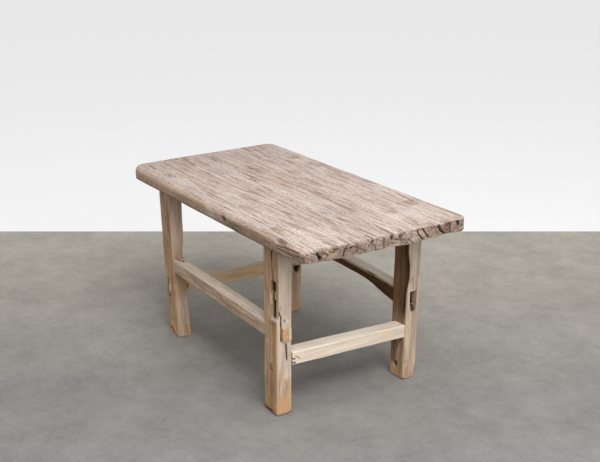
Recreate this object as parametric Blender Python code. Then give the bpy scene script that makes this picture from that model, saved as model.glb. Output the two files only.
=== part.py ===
# Low table of old elm: one thick plank on four legs, tied by four stretchers.
# Every joint is a through mortise and tenon, and most tenons are held by a wedge.
# Units are metres. +Z is up, and the plank's grain and length run along X.
# The front is the -Y side and the right is the +X end.
# The origin is on the floor under the middle of the plank.

from collections import namedtuple

import bmesh
import bpy
from mathutils import Matrix

# Whole table
TABLE_HEIGHT = 0.460
JOINT_GAP = 0.0003
CUT_OVERRUN = 0.012
TENON_ROOT = 0.010

# Plank
PLANK_LENGTH = 0.870
PLANK_WIDTH = 0.458
PLANK_THICKNESS = 0.0335
PLANK_CORNER_RADIUS = 0.026
PLANK_UPPER_EDGE_RADIUS = 0.010
PLANK_LOWER_EDGE_RADIUS = 0.007
PLANK_LEFT_END_SKEW = 0.0120

# Leg edges, and the tenons that come up through the plank
LEG_EDGE_BEVEL = 0.004
FOOT_EDGE_BEVEL = 0.0025
PLANK_TENON_WIDTH_SHARE = 0.66
PLANK_TENON_DEPTH_SHARE = 0.58
PLANK_TENON_RECESS = 0.0004

# Front right leg
FRONT_RIGHT_END_INSET = 0.1706
FRONT_RIGHT_SIDE_INSET = 0.0401
FRONT_RIGHT_WIDTH = 0.0540
FRONT_RIGHT_DEPTH = 0.0395
FRONT_RIGHT_FOOT_SHIFT_X = -0.0107
FRONT_RIGHT_FOOT_SHIFT_Y = 0.0049

# Back right leg
BACK_RIGHT_END_INSET = 0.1648
BACK_RIGHT_SIDE_INSET = 0.0431
BACK_RIGHT_WIDTH = 0.0525
BACK_RIGHT_DEPTH = 0.0400
BACK_RIGHT_FOOT_SHIFT_X = -0.0010
BACK_RIGHT_FOOT_SHIFT_Y = -0.0046

# Front left leg
FRONT_LEFT_END_INSET = 0.1605
FRONT_LEFT_SIDE_INSET = 0.0402
FRONT_LEFT_WIDTH = 0.0510
FRONT_LEFT_DEPTH = 0.0360
FRONT_LEFT_FOOT_SHIFT_X = 0.0024
FRONT_LEFT_FOOT_SHIFT_Y = 0.0158

# Back left leg
BACK_LEFT_END_INSET = 0.1846
BACK_LEFT_SIDE_INSET = 0.0340
BACK_LEFT_WIDTH = 0.0480
BACK_LEFT_DEPTH = 0.0400
BACK_LEFT_FOOT_SHIFT_X = 0.0010
BACK_LEFT_FOOT_SHIFT_Y = -0.0205

# Front stretcher, the long one near the legs' front faces
FRONT_RAIL_BOTTOM = 0.1940
FRONT_RAIL_HEIGHT = 0.0345
FRONT_RAIL_THICKNESS = 0.0320
FRONT_RAIL_SETBACK = 0.0015
FRONT_RAIL_LEFT_TENON_INSET = 0.0070
FRONT_RAIL_RIGHT_TENON_INSET = 0.0100
FRONT_RAIL_TENON_THICKNESS = 0.0160
FRONT_RAIL_WEDGE_THICKNESS = 0.0070
FRONT_RAIL_RIGHT_STANDOUT = 0.0080

# Back stretcher, arched underneath
BACK_RAIL_BOTTOM = 0.2000
BACK_RAIL_HEIGHT = 0.0410
BACK_RAIL_THICKNESS = 0.0320
BACK_RAIL_SETBACK = 0.0010
BACK_RAIL_ARCH_RISE = 0.0275
BACK_RAIL_CROWN_RISE = 0.0077
BACK_RAIL_TENON_INSET = 0.0215
BACK_RAIL_TENON_THICKNESS = 0.0085
BACK_RAIL_WEDGE_THICKNESS = 0.0110
BACK_RAIL_RIGHT_STANDOUT = -0.0030

# Right stretcher, across the near end, a little lower at the back
RIGHT_RAIL_FRONT_BOTTOM = 0.1290
RIGHT_RAIL_BACK_BOTTOM = 0.1190
RIGHT_RAIL_HEIGHT = 0.0315
RIGHT_RAIL_THICKNESS = 0.0390
RIGHT_RAIL_FRONT_SETBACK = -0.0040
RIGHT_RAIL_BACK_SETBACK = 0.0010
RIGHT_RAIL_TENON_INSET = 0.0220
RIGHT_RAIL_TENON_THICKNESS = 0.0155
RIGHT_RAIL_WEDGE_THICKNESS = 0.0110

# Left stretcher, across the far end
LEFT_RAIL_BOTTOM = 0.1290
LEFT_RAIL_HEIGHT = 0.0310
LEFT_RAIL_THICKNESS = 0.0310
LEFT_RAIL_FRONT_SETBACK = 0.0075
LEFT_RAIL_BACK_SETBACK = 0.0140
LEFT_RAIL_TENON_INSET = 0.0180
LEFT_RAIL_TENON_THICKNESS = 0.0115
LEFT_RAIL_WEDGE_THICKNESS = 0.0110

# Stretcher edges and joints
RAIL_EDGE_BEVEL = 0.003
RAIL_TENON_SHOULDER = 0.0025
TENON_STANDOUT = 0.0012
WEDGE_DEPTH_SHARE = 0.82
WEDGE_THIN_SHARE = 0.35

# Wedges driven down into the leg tenons from above
TOP_WEDGE_THICKNESS = 0.0055
TOP_WEDGE_THIN_SHARE = 0.3
TOP_WEDGE_DEPTH_SHARE = 0.75

# Counts of faces round the bevels and along the arched stretcher
CORNER_SEGMENTS = 6
PLANK_EDGE_SEGMENTS = 3
SMALL_BEVEL_SEGMENTS = 2
ARCH_CUTS = 11

# An edge counts as running along an axis when it has this share of its length there,
# and two faces that turn by less than the angle, in radians, are shaded as one
ALONG_AXIS_SHARE = 0.9
SMOOTH_ANGLE = 0.6
ROUND_PROFILE_SHARE = 0.5

# Wood tones, linear red, green and blue
PLANK_TONE = (0.46, 0.36, 0.29)
LEG_TONE = (0.45, 0.34, 0.23)
STRETCHER_TONE = (0.50, 0.39, 0.27)
WEDGE_TONE = (0.55, 0.43, 0.30)
WOOD_ROUGHNESS = 0.85

X, Y, Z = range(3)
LOW, HIGH = range(2)

SHOULDER_HEIGHT = TABLE_HEIGHT - PLANK_THICKNESS - JOINT_GAP

Leg = namedtuple("Leg", "name end side end_inset side_inset width depth foot_shift_x foot_shift_y")

LEGS = {
    leg.name: leg
    for leg in (
        Leg("front_right", 1, -1, FRONT_RIGHT_END_INSET, FRONT_RIGHT_SIDE_INSET, FRONT_RIGHT_WIDTH,
            FRONT_RIGHT_DEPTH, FRONT_RIGHT_FOOT_SHIFT_X, FRONT_RIGHT_FOOT_SHIFT_Y),
        Leg("back_right", 1, 1, BACK_RIGHT_END_INSET, BACK_RIGHT_SIDE_INSET, BACK_RIGHT_WIDTH,
            BACK_RIGHT_DEPTH, BACK_RIGHT_FOOT_SHIFT_X, BACK_RIGHT_FOOT_SHIFT_Y),
        Leg("front_left", -1, -1, FRONT_LEFT_END_INSET, FRONT_LEFT_SIDE_INSET, FRONT_LEFT_WIDTH,
            FRONT_LEFT_DEPTH, FRONT_LEFT_FOOT_SHIFT_X, FRONT_LEFT_FOOT_SHIFT_Y),
        Leg("back_left", -1, 1, BACK_LEFT_END_INSET, BACK_LEFT_SIDE_INSET, BACK_LEFT_WIDTH,
            BACK_LEFT_DEPTH, BACK_LEFT_FOOT_SHIFT_X, BACK_LEFT_FOOT_SHIFT_Y),
    )
}

# A stretcher runs along one axis between two legs. Its face side is the side of the
# legs that it lines up with, and the setbacks say how far behind that side it lies.
# Its wedges lie on one side of each tenon: wedge_axis and wedge_side say which.
Rail = namedtuple(
    "Rail",
    "name axis legs end_names bottoms height thickness face_side setbacks arch crown"
    " tenon_insets tenon_thickness wedge_axis wedge_side wedge_thickness standouts wedged",
)

RAILS = (
    Rail("front", X, ("front_left", "front_right"), ("left", "right"),
         (FRONT_RAIL_BOTTOM, FRONT_RAIL_BOTTOM), FRONT_RAIL_HEIGHT, FRONT_RAIL_THICKNESS,
         -1, (FRONT_RAIL_SETBACK, FRONT_RAIL_SETBACK), 0.0, 0.0,
         (FRONT_RAIL_LEFT_TENON_INSET, FRONT_RAIL_RIGHT_TENON_INSET),
         FRONT_RAIL_TENON_THICKNESS, Y, 1, FRONT_RAIL_WEDGE_THICKNESS,
         (TENON_STANDOUT, FRONT_RAIL_RIGHT_STANDOUT), (True, True)),
    Rail("back", X, ("back_left", "back_right"), ("left", "right"),
         (BACK_RAIL_BOTTOM, BACK_RAIL_BOTTOM), BACK_RAIL_HEIGHT, BACK_RAIL_THICKNESS,
         -1, (BACK_RAIL_SETBACK, BACK_RAIL_SETBACK), BACK_RAIL_ARCH_RISE, BACK_RAIL_CROWN_RISE,
         (BACK_RAIL_TENON_INSET, BACK_RAIL_TENON_INSET),
         BACK_RAIL_TENON_THICKNESS, Y, -1, BACK_RAIL_WEDGE_THICKNESS,
         (TENON_STANDOUT, BACK_RAIL_RIGHT_STANDOUT), (True, False)),
    Rail("right", Y, ("front_right", "back_right"), ("front", "back"),
         (RIGHT_RAIL_FRONT_BOTTOM, RIGHT_RAIL_BACK_BOTTOM), RIGHT_RAIL_HEIGHT, RIGHT_RAIL_THICKNESS,
         1, (RIGHT_RAIL_FRONT_SETBACK, RIGHT_RAIL_BACK_SETBACK), 0.0, 0.0,
         (RIGHT_RAIL_TENON_INSET, RIGHT_RAIL_TENON_INSET),
         RIGHT_RAIL_TENON_THICKNESS, Z, -1, RIGHT_RAIL_WEDGE_THICKNESS,
         (TENON_STANDOUT, TENON_STANDOUT), (True, True)),
    Rail("left", Y, ("front_left", "back_left"), ("front", "back"),
         (LEFT_RAIL_BOTTOM, LEFT_RAIL_BOTTOM), LEFT_RAIL_HEIGHT, LEFT_RAIL_THICKNESS,
         1, (LEFT_RAIL_FRONT_SETBACK, LEFT_RAIL_BACK_SETBACK), 0.0, 0.0,
         (LEFT_RAIL_TENON_INSET, LEFT_RAIL_TENON_INSET),
         LEFT_RAIL_TENON_THICKNESS, Z, -1, LEFT_RAIL_WEDGE_THICKNESS,
         (TENON_STANDOUT, TENON_STANDOUT), (True, True)),
)

Box = namedtuple("Box", "low high")


def lerp(start, end, share):
    return start + (end - start) * share


# Where a leg's middle and faces lie at a height

def leg_top(leg):
    x = leg.end * (PLANK_LENGTH / 2 - leg.end_inset)
    y = leg.side * (PLANK_WIDTH / 2 - leg.side_inset)
    return x, y


def leg_lean(leg):
    return -leg.foot_shift_x / SHOULDER_HEIGHT, -leg.foot_shift_y / SHOULDER_HEIGHT


def leg_face(leg, axis, side, height):
    foot = leg_top(leg)[axis] + (leg.foot_shift_x, leg.foot_shift_y)[axis]
    middle = foot + leg_lean(leg)[axis] * height
    return middle + side * (leg.width, leg.depth)[axis] / 2


# Mesh helpers

def new_object(name, mesh, tone):
    data = bpy.data.meshes.new(name)
    mesh.to_mesh(data)
    mesh.free()
    data.shade_smooth()
    data.set_sharp_from_angle(angle=SMOOTH_ANGLE)
    item = bpy.data.objects.new(name, data)
    bpy.context.scene.collection.objects.link(item)
    material = bpy.data.materials.new(name)
    material.use_nodes = True
    shader = material.node_tree.nodes["Principled BSDF"]
    shader.inputs["Base Color"].default_value = (*tone, 1.0)
    shader.inputs["Roughness"].default_value = WOOD_ROUGHNESS
    shader.inputs["Metallic"].default_value = 0.0
    data.materials.append(material)
    return item


def unit_block():
    # A block from 0 to 1 along each axis, so that its points are shares of a box
    mesh = bmesh.new()
    bmesh.ops.create_cube(mesh, size=1.0, matrix=Matrix.Translation((1 / 2, 1 / 2, 1 / 2)))
    return mesh


def block_mesh(box):
    mesh = unit_block()
    for vertex in mesh.verts:
        for axis in (X, Y, Z):
            vertex.co[axis] = lerp(box.low[axis], box.high[axis], vertex.co[axis])
    return mesh


def edges_along(mesh, axis):
    return [
        edge for edge in mesh.edges
        if abs((edge.verts[0].co - edge.verts[1].co).normalized()[axis]) > ALONG_AXIS_SHARE
    ]


def bevel(mesh, edges, width, segments):
    bmesh.ops.bevel(
        mesh, geom=edges, offset=width, offset_type="OFFSET", affect="EDGES",
        segments=segments, profile=ROUND_PROFILE_SHARE, material=-1, clamp_overlap=True,
    )


def tool_object(item, mesh):
    tool = bpy.data.objects.new(item.name + "_tool", bpy.data.meshes.new(item.name + "_tool"))
    mesh.to_mesh(tool.data)
    mesh.free()
    bpy.context.scene.collection.objects.link(tool)
    tool.hide_render = True
    tool.display_type = "WIRE"
    return tool


def combine(item, mesh, operation):
    step = item.modifiers.new(operation.lower(), "BOOLEAN")
    step.operation = operation
    step.solver = "EXACT"
    step.object = tool_object(item, mesh)


def grown(box, gap):
    return Box([low - gap for low in box.low], [high + gap for high in box.high])


# A wedge is thick at the end where it was driven in. Its seat side lies flat against
# the tenon and the other side slopes. With no seat side, both sides slope alike.
# length_axis runs from the thin end to the thick end, and across is its thickness.
Wedge = namedtuple("Wedge", "box length_axis thick_end across seat_side thin")


def wedge_mesh(wedge):
    mesh = block_mesh(wedge.box)
    axis, across = wedge.length_axis, wedge.across
    low, high = wedge.box.low[across], wedge.box.high[across]
    thin_at = wedge.box.low[axis] if wedge.thick_end > 0 else wedge.box.high[axis]
    seat = lerp(low, high, (wedge.seat_side + 1) / 2)
    for vertex in mesh.verts:
        if abs(vertex.co[axis] - thin_at) < JOINT_GAP / 2:
            vertex.co[across] = seat + (vertex.co[across] - seat) * wedge.thin / (high - low)
    return mesh


def wedge_room(wedge, overrun):
    # The wedge with a gap all round, carried on along its slope past the thick end
    axis, across = wedge.length_axis, wedge.across
    thick = wedge.box.high[across] - wedge.box.low[across]
    length = wedge.box.high[axis] - wedge.box.low[axis]
    slope = (thick - wedge.thin) / length
    room = grown(wedge.box, JOINT_GAP)
    low, high = list(room.low), list(room.high)
    if wedge.thick_end > 0:
        high[axis] += overrun
    else:
        low[axis] -= overrun
    growth = slope * (overrun + JOINT_GAP)
    if wedge.seat_side < 0:
        high[across] += growth
    elif wedge.seat_side > 0:
        low[across] -= growth
    else:
        low[across] -= growth / 2
        high[across] += growth / 2
    thin = wedge.thin + 2 * JOINT_GAP - slope * JOINT_GAP
    return Wedge(Box(low, high), axis, wedge.thick_end, across, wedge.seat_side, thin)


# Stretchers and their joints

def bow(share):
    # A parabola along the stretcher: zero at both ends and one in the middle
    return 4 * share * (1 - share)


def rail_bottom(rail, share):
    return lerp(rail.bottoms[LOW], rail.bottoms[HIGH], share) + rail.arch * bow(share)


def rail_top(rail, share):
    return lerp(rail.bottoms[LOW], rail.bottoms[HIGH], share) + rail.height + rail.crown * bow(share)


def rail_shoulder(rail, end, height):
    # The leg face that the stretcher's end meets, less the joint gap
    toward_middle = 1 if end == LOW else -1
    leg = LEGS[rail.legs[end]]
    return leg_face(leg, rail.axis, toward_middle, height) + toward_middle * JOINT_GAP


def rail_face(rail, end):
    # The stretcher's long face that lines up with the legs, at one end
    leg = LEGS[rail.legs[end]]
    across = Y if rail.axis == X else X
    height = rail.bottoms[end] + rail.height / 2
    return leg_face(leg, across, rail.face_side, height) - rail.face_side * rail.setbacks[end]


def rail_mesh(rail):
    mesh = unit_block()
    if rail.arch:
        bmesh.ops.subdivide_edges(mesh, edges=edges_along(mesh, rail.axis), cuts=ARCH_CUTS)
    across = Y if rail.axis == X else X
    for vertex in mesh.verts:
        along_share = vertex.co[rail.axis]
        across_share = vertex.co[across]
        height_share = vertex.co[Z]
        height = lerp(rail_bottom(rail, along_share), rail_top(rail, along_share), height_share)
        start = rail_shoulder(rail, LOW, height)
        finish = rail_shoulder(rail, HIGH, height)
        face = lerp(rail_face(rail, LOW), rail_face(rail, HIGH), along_share)
        back = face - rail.face_side * rail.thickness
        vertex.co[rail.axis] = lerp(start, finish, along_share)
        vertex.co[across] = lerp(min(face, back), max(face, back), across_share)
        vertex.co[Z] = height
    bevel(mesh, edges_along(mesh, rail.axis), RAIL_EDGE_BEVEL, SMALL_BEVEL_SEGMENTS)
    return mesh


def tenon_box(rail, end):
    leg = LEGS[rail.legs[end]]
    outward = -1 if end == LOW else 1
    across = Y if rail.axis == X else X
    bottom = rail.bottoms[end] + RAIL_TENON_SHOULDER
    top = rail.bottoms[end] + rail.height - RAIL_TENON_SHOULDER
    middle = (bottom + top) / 2
    root = rail_shoulder(rail, end, middle) - outward * TENON_ROOT
    tip = leg_face(leg, rail.axis, outward, middle) + outward * rail.standouts[end]
    near = rail_face(rail, end) - rail.face_side * rail.tenon_insets[end]
    far = near - rail.face_side * rail.tenon_thickness
    low = [0.0, 0.0, bottom]
    high = [0.0, 0.0, top]
    low[rail.axis] = min(root, tip)
    high[rail.axis] = max(root, tip)
    low[across] = min(near, far)
    high[across] = max(near, far)
    return Box(low, high)


def tenon_wedge(rail, end):
    # The wedge beside or under a tenon, driven in from the leg's outer face
    leg = LEGS[rail.legs[end]]
    outward = -1 if end == LOW else 1
    tenon = tenon_box(rail, end)
    across, side = rail.wedge_axis, rail.wedge_side
    middle = (tenon.low[Z] + tenon.high[Z]) / 2
    outer = leg_face(leg, rail.axis, outward, middle) + outward * max(rail.standouts[end], TENON_STANDOUT)
    depth = (leg.width, leg.depth)[rail.axis] * WEDGE_DEPTH_SHARE
    inner = leg_face(leg, rail.axis, outward, middle) - outward * depth
    low, high = list(tenon.low), list(tenon.high)
    low[rail.axis] = min(inner, outer)
    high[rail.axis] = max(inner, outer)
    if side > 0:
        low[across] = tenon.high[across] + JOINT_GAP
        high[across] = low[across] + rail.wedge_thickness
    else:
        high[across] = tenon.low[across] - JOINT_GAP
        low[across] = high[across] - rail.wedge_thickness
    thin = rail.wedge_thickness * WEDGE_THIN_SHARE
    return Wedge(Box(low, high), rail.axis, outward, across, -side, thin)


def tenon_room(rail, end):
    # The straight part of the mortise, past both faces of the leg
    room = grown(tenon_box(rail, end), JOINT_GAP)
    outward = -1 if end == LOW else 1
    leg = LEGS[rail.legs[end]]
    middle = (room.low[Z] + room.high[Z]) / 2
    outer = leg_face(leg, rail.axis, outward, middle) + outward * CUT_OVERRUN
    inner = leg_face(leg, rail.axis, -outward, middle) - outward * CUT_OVERRUN
    room.low[rail.axis] = min(inner, outer)
    room.high[rail.axis] = max(inner, outer)
    return room


def make_stretcher(rail):
    item = new_object("stretcher_" + rail.name, rail_mesh(rail), STRETCHER_TONE)
    for end in (LOW, HIGH):
        combine(item, block_mesh(tenon_box(rail, end)), "UNION")
        if rail.wedged[end]:
            name = "wedge_" + rail.name + "_stretcher_" + rail.end_names[end]
            new_object(name, wedge_mesh(tenon_wedge(rail, end)), WEDGE_TONE)


# Legs

def plank_tenon_box(leg):
    x, y = leg_top(leg)
    half_width = leg.width * PLANK_TENON_WIDTH_SHARE / 2
    half_depth = leg.depth * PLANK_TENON_DEPTH_SHARE / 2
    bottom = SHOULDER_HEIGHT - TENON_ROOT
    top = TABLE_HEIGHT - PLANK_TENON_RECESS
    return Box([x - half_width, y - half_depth, bottom], [x + half_width, y + half_depth, top])


def top_wedge(leg):
    tenon = plank_tenon_box(leg)
    middle = (tenon.low[Y] + tenon.high[Y]) / 2
    depth = PLANK_THICKNESS * TOP_WEDGE_DEPTH_SHARE
    low = [tenon.low[X], middle - TOP_WEDGE_THICKNESS / 2, tenon.high[Z] - depth]
    high = [tenon.high[X], middle + TOP_WEDGE_THICKNESS / 2, tenon.high[Z]]
    return Wedge(Box(low, high), Z, 1, Y, 0, TOP_WEDGE_THICKNESS * TOP_WEDGE_THIN_SHARE)


def top_wedge_room(leg):
    room = wedge_room(top_wedge(leg), CUT_OVERRUN)
    room.box.low[X] -= CUT_OVERRUN
    room.box.high[X] += CUT_OVERRUN
    return room


def leg_mesh(leg):
    foot_x = leg_top(leg)[X] + leg.foot_shift_x
    foot_y = leg_top(leg)[Y] + leg.foot_shift_y
    half_width, half_depth = leg.width / 2, leg.depth / 2
    mesh = block_mesh(Box([-half_width, -half_depth, 0.0], [half_width, half_depth, SHOULDER_HEIGHT]))
    bevel(mesh, edges_along(mesh, Z), LEG_EDGE_BEVEL, SMALL_BEVEL_SEGMENTS)
    foot_edges = [
        edge for edge in mesh.edges
        if max(vertex.co.z for vertex in edge.verts) < FOOT_EDGE_BEVEL
    ]
    bevel(mesh, foot_edges, FOOT_EDGE_BEVEL, 1)
    lean = Matrix.Translation((foot_x, foot_y, 0.0))
    lean[X][Z], lean[Y][Z] = leg_lean(leg)
    bmesh.ops.transform(mesh, matrix=lean, verts=mesh.verts)
    return mesh


def make_leg(leg):
    item = new_object("leg_" + leg.name, leg_mesh(leg), LEG_TONE)
    combine(item, block_mesh(plank_tenon_box(leg)), "UNION")
    combine(item, wedge_mesh(top_wedge_room(leg)), "DIFFERENCE")
    for rail in RAILS:
        for end in (LOW, HIGH):
            if rail.legs[end] == leg.name:
                combine(item, block_mesh(tenon_room(rail, end)), "DIFFERENCE")
                room = wedge_room(tenon_wedge(rail, end), CUT_OVERRUN)
                combine(item, wedge_mesh(room), "DIFFERENCE")
    new_object("wedge_top_" + leg.name, wedge_mesh(top_wedge(leg)), WEDGE_TONE)


# Plank

def plank_mesh():
    half_length, half_width = PLANK_LENGTH / 2, PLANK_WIDTH / 2
    underside = TABLE_HEIGHT - PLANK_THICKNESS
    mesh = block_mesh(Box([-half_length, -half_width, underside], [half_length, half_width, TABLE_HEIGHT]))
    # The left end was sawn askew, and its rounded back corner still reaches the full length
    corner_shift = PLANK_LEFT_END_SKEW * PLANK_CORNER_RADIUS / PLANK_WIDTH
    for vertex in mesh.verts:
        if vertex.co.x < 0.0:
            skew = PLANK_LEFT_END_SKEW if vertex.co.y < 0.0 else 0.0
            vertex.co.x += skew - corner_shift
    bevel(mesh, edges_along(mesh, Z), PLANK_CORNER_RADIUS, CORNER_SEGMENTS)
    rims = (
        (TABLE_HEIGHT, PLANK_UPPER_EDGE_RADIUS, PLANK_EDGE_SEGMENTS),
        (underside, PLANK_LOWER_EDGE_RADIUS, SMALL_BEVEL_SEGMENTS),
    )
    for height, radius, segments in rims:
        rim = [
            edge for edge in mesh.edges
            if all(abs(vertex.co.z - height) < JOINT_GAP for vertex in edge.verts)
        ]
        bevel(mesh, rim, radius, segments)
    return mesh


def make_plank():
    item = new_object("top_plank", plank_mesh(), PLANK_TONE)
    for leg in LEGS.values():
        room = grown(plank_tenon_box(leg), JOINT_GAP)
        room.low[Z] -= CUT_OVERRUN
        room.high[Z] += CUT_OVERRUN
        combine(item, block_mesh(room), "DIFFERENCE")


def clear_scene():
    for item in list(bpy.data.objects):
        bpy.data.objects.remove(item, do_unlink=True)


def main():
    clear_scene()
    make_plank()
    for leg in LEGS.values():
        make_leg(leg)
    for rail in RAILS:
        make_stretcher(rail)


main()
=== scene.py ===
import math
from collections import namedtuple

import bmesh
import bpy
import numpy as np
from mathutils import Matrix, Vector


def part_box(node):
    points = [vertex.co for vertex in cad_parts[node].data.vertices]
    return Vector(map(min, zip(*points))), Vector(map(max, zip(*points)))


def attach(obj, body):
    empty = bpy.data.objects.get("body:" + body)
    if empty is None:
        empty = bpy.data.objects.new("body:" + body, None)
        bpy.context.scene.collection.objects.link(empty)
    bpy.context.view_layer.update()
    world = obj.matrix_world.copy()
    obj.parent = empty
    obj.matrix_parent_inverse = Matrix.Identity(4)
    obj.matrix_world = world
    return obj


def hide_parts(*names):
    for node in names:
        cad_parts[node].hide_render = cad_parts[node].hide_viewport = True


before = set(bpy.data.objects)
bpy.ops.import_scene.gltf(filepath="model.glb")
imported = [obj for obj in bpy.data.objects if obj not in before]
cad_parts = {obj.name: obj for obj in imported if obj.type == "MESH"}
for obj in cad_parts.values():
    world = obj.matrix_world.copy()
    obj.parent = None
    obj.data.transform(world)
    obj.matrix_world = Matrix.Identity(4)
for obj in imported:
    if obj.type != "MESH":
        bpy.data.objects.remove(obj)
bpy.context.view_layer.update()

# Low table of old elm: a thick furrowed plank on four leaning legs, tied by four wedged stretchers.
# Metres, as in the frame, and millimetres only in the rows of marks.
# The front is the -Y side and the right is the +X end.

X, Y, Z = range(3)
LOW, HIGH = range(2)
MM = 0.001
SIDES = {
    "left": (X, LOW), "right": (X, HIGH), "front": (Y, LOW),
    "back": (Y, HIGH), "bottom": (Z, LOW), "top": (Z, HIGH),
}

# Table sizes, the same as the solids have
TABLE_HEIGHT = 0.46
SHOULDER_HEIGHT = 0.4262
PLANK_HALF = (0.435, 0.229)
PLANK_UNDERSIDE = 0.4265
PLANK_SKEW = 0.012
PLANK_CORNER = 0.026
JOINT_GAP = 0.0003
# The gap round a tenon in its mortise, a little wider than in the solids
PLANK_MORTISE_GAP = JOINT_GAP + 0.0002
LEG_MORTISE_GAP = JOINT_GAP + 0.0004
TENON_HEIGHT = 0.4596
# How far a mortise is open past its tenon, for the wedge there
FRONT_SLOT = 0.0076
WEDGE_SLOT = 0.0113

# A leg is given by the middle of its top, its width and depth, and how far its foot stands aside
Leg = namedtuple("Leg", "name top size foot_shift tenon_half")
LEGS = {leg.name: leg for leg in (
    Leg("front_right", (0.2644, -0.1889), (0.054, 0.0395), (-0.0107, 0.0049), (0.01782, 0.01146)),
    Leg("back_right", (0.2702, 0.1859), (0.0525, 0.04), (-0.001, -0.0046), (0.01733, 0.0116)),
    Leg("front_left", (-0.2745, -0.1888), (0.051, 0.036), (0.0024, 0.0158), (0.01683, 0.01044)),
    Leg("back_left", (-0.2504, 0.195), (0.048, 0.04), (0.001, -0.0205), (0.01584, 0.0116)),
)}

# A stretcher lies between two legs. Each pair is for its low and its high end.
# A tenon is given by its sides across the stretcher, its bottom and top, and its tip.
Stretcher = namedtuple("Stretcher", "name axis legs bottoms height arch crown faces thickness tenons")
Tenon = namedtuple("Tenon", "across heights tip")
STRETCHERS = {stretcher.name: stretcher for stretcher in (
    Stretcher(
        "front", X, ("front_left", "front_right"), (0.194, 0.194), 0.0345, 0.0, 0.0,
        (-0.19733, -0.20468), 0.032, (
            Tenon((-0.19033, -0.17433), (0.1965, 0.226), -0.2998),
            Tenon((-0.19468, -0.17868), (0.1965, 0.226), 0.2938),
        ),
    ),
    Stretcher(
        "back", X, ("back_left", "back_right"), (0.2, 0.2), 0.041, 0.0275, 0.0077,
        (0.16611, 0.16468), 0.032, (
            Tenon((0.18761, 0.19611), (0.2025, 0.2385), -0.275),
            Tenon((0.18618, 0.19468), (0.2025, 0.2385), 0.2855),
        ),
    ),
    Stretcher(
        "right", Y, ("front_right", "back_right"), (0.129, 0.119), 0.0315, 0.0, 0.0,
        (0.24933, 0.25577), 0.039, (
            Tenon((0.25083, 0.26633), (0.1315, 0.158), -0.2065),
            Tenon((0.25727, 0.27277), (0.1215, 0.148), 0.2039),
        ),
    ),
    Stretcher(
        "left", Y, ("front_left", "back_left"), (0.129, 0.129), 0.031, 0.0, 0.0,
        (-0.28591, -0.27074), 0.031, (
            Tenon((-0.28441, -0.27291), (0.1315, 0.1575), -0.1975),
            Tenon((-0.26924, -0.25774), (0.1315, 0.1575), 0.2026),
        ),
    ),
)}


def lerp(start, end, share):
    return start + (end - start) * share


def leg_middle(leg, height):
    share = height / SHOULDER_HEIGHT
    return [leg.top[axis] + leg.foot_shift[axis] * (1 - share) for axis in (X, Y)]


def leg_face(leg, axis, end, height):
    half = leg.size[axis] / 2
    return leg_middle(leg, height)[axis] + (half if end == HIGH else -half)


def others(axis):
    return [other for other in (X, Y, Z) if other != axis]


def along_grain(axis, across, along):
    """Three lengths: one along the grain's axis and one across it."""
    lengths = [across] * 3
    lengths[axis] = along
    return lengths


# Smooth noise, and shapes that are read from how far a place is from a line

def cell_value(cells, seed):
    """A fixed value from -1 to 1 for each whole-numbered cell. The large primes scatter the numbers' bits."""
    number = cells[:, X] * 73856093 ^ cells[:, Y] * 19349663 ^ cells[:, Z] * 83492791 ^ (seed * 2654435761)
    number = (number ^ (number >> 13)) * 1274126177
    number = (number ^ (number >> 16)) & 0xFFFF
    return number / 32767.5 - 1.0


def noise(points, waves, seed):
    """Smooth noise from -1 to 1, with the given wave lengths along x, y and z."""
    place = points / np.asarray(waves) + seed * 7.31
    cells = np.floor(place).astype(np.int64)
    share = place - cells
    share = share * share * (3 - 2 * share)
    total = np.zeros(len(points))
    for corner in range(8):
        step = np.array([corner & 1, corner >> 1 & 1, corner >> 2])
        weight = np.prod(np.where(step, share, 1 - share), axis=1)
        total += weight * cell_value(cells + step, seed)
    return total


def layered(points, waves, seed, layers=3):
    total = 0.0
    for layer in range(layers):
        total = total + noise(points, np.asarray(waves) / 2 ** layer, seed + layer) / 2 ** layer
    return total / 1.5


def ease(values, start, end):
    """From 0 at the start to 1 at the end, which may lie below the start."""
    share = np.clip((values - start) / (end - start), 0, 1)
    return share * share * (3 - 2 * share)


def to_path(places, path):
    """Each place's distance from a path of straight lines, and its share along the path."""
    if len(path) == 1:
        return np.hypot(*(places - path[0]).T), np.full(len(places), 0.5)
    lengths = np.hypot(*(path[1:] - path[:-1]).T)
    begun = np.concatenate([[0.0], np.cumsum(lengths)])
    best = np.full(len(places), np.inf)
    share = np.zeros(len(places))
    for number, length in enumerate(lengths):
        way = (path[number + 1] - path[number]) / length
        along = np.clip((places - path[number]) @ way, 0, length)
        away = np.hypot(*(places - path[number] - along[:, None] * way).T)
        nearer = away < best
        best = np.where(nearer, away, best)
        share = np.where(nearer, (begun[number] + along) / begun[-1], share)
    return best, share


# A mark on one side of a piece: a crack, hole, dent or stain along a path on that side.
# Its depth goes into the wood, and a depth below zero stands proud.
# Without taper its ends are blunt, and the more taper it has, the shorter its thin ends are.
Mark = namedtuple("Mark", "side path width depth tone amount taper")
END_STEEPNESS = 8
TONE_STEEPNESS = 1.6
MARKS = {}


def draw(node, side, tone, *rows):
    """Marks of one tone on one side of a node. Each row is a width, depth, amount, taper and path, in mm."""
    for width, depth, amount, taper, *path in rows:
        mark = Mark(side, np.array(path) * MM, width * MM, depth * MM, tone, amount, taper)
        MARKS.setdefault(node, []).append(mark)


TONES = ("dark", "pale", "warm", "tan", "brown", "grey", "split", "calm")


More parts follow.
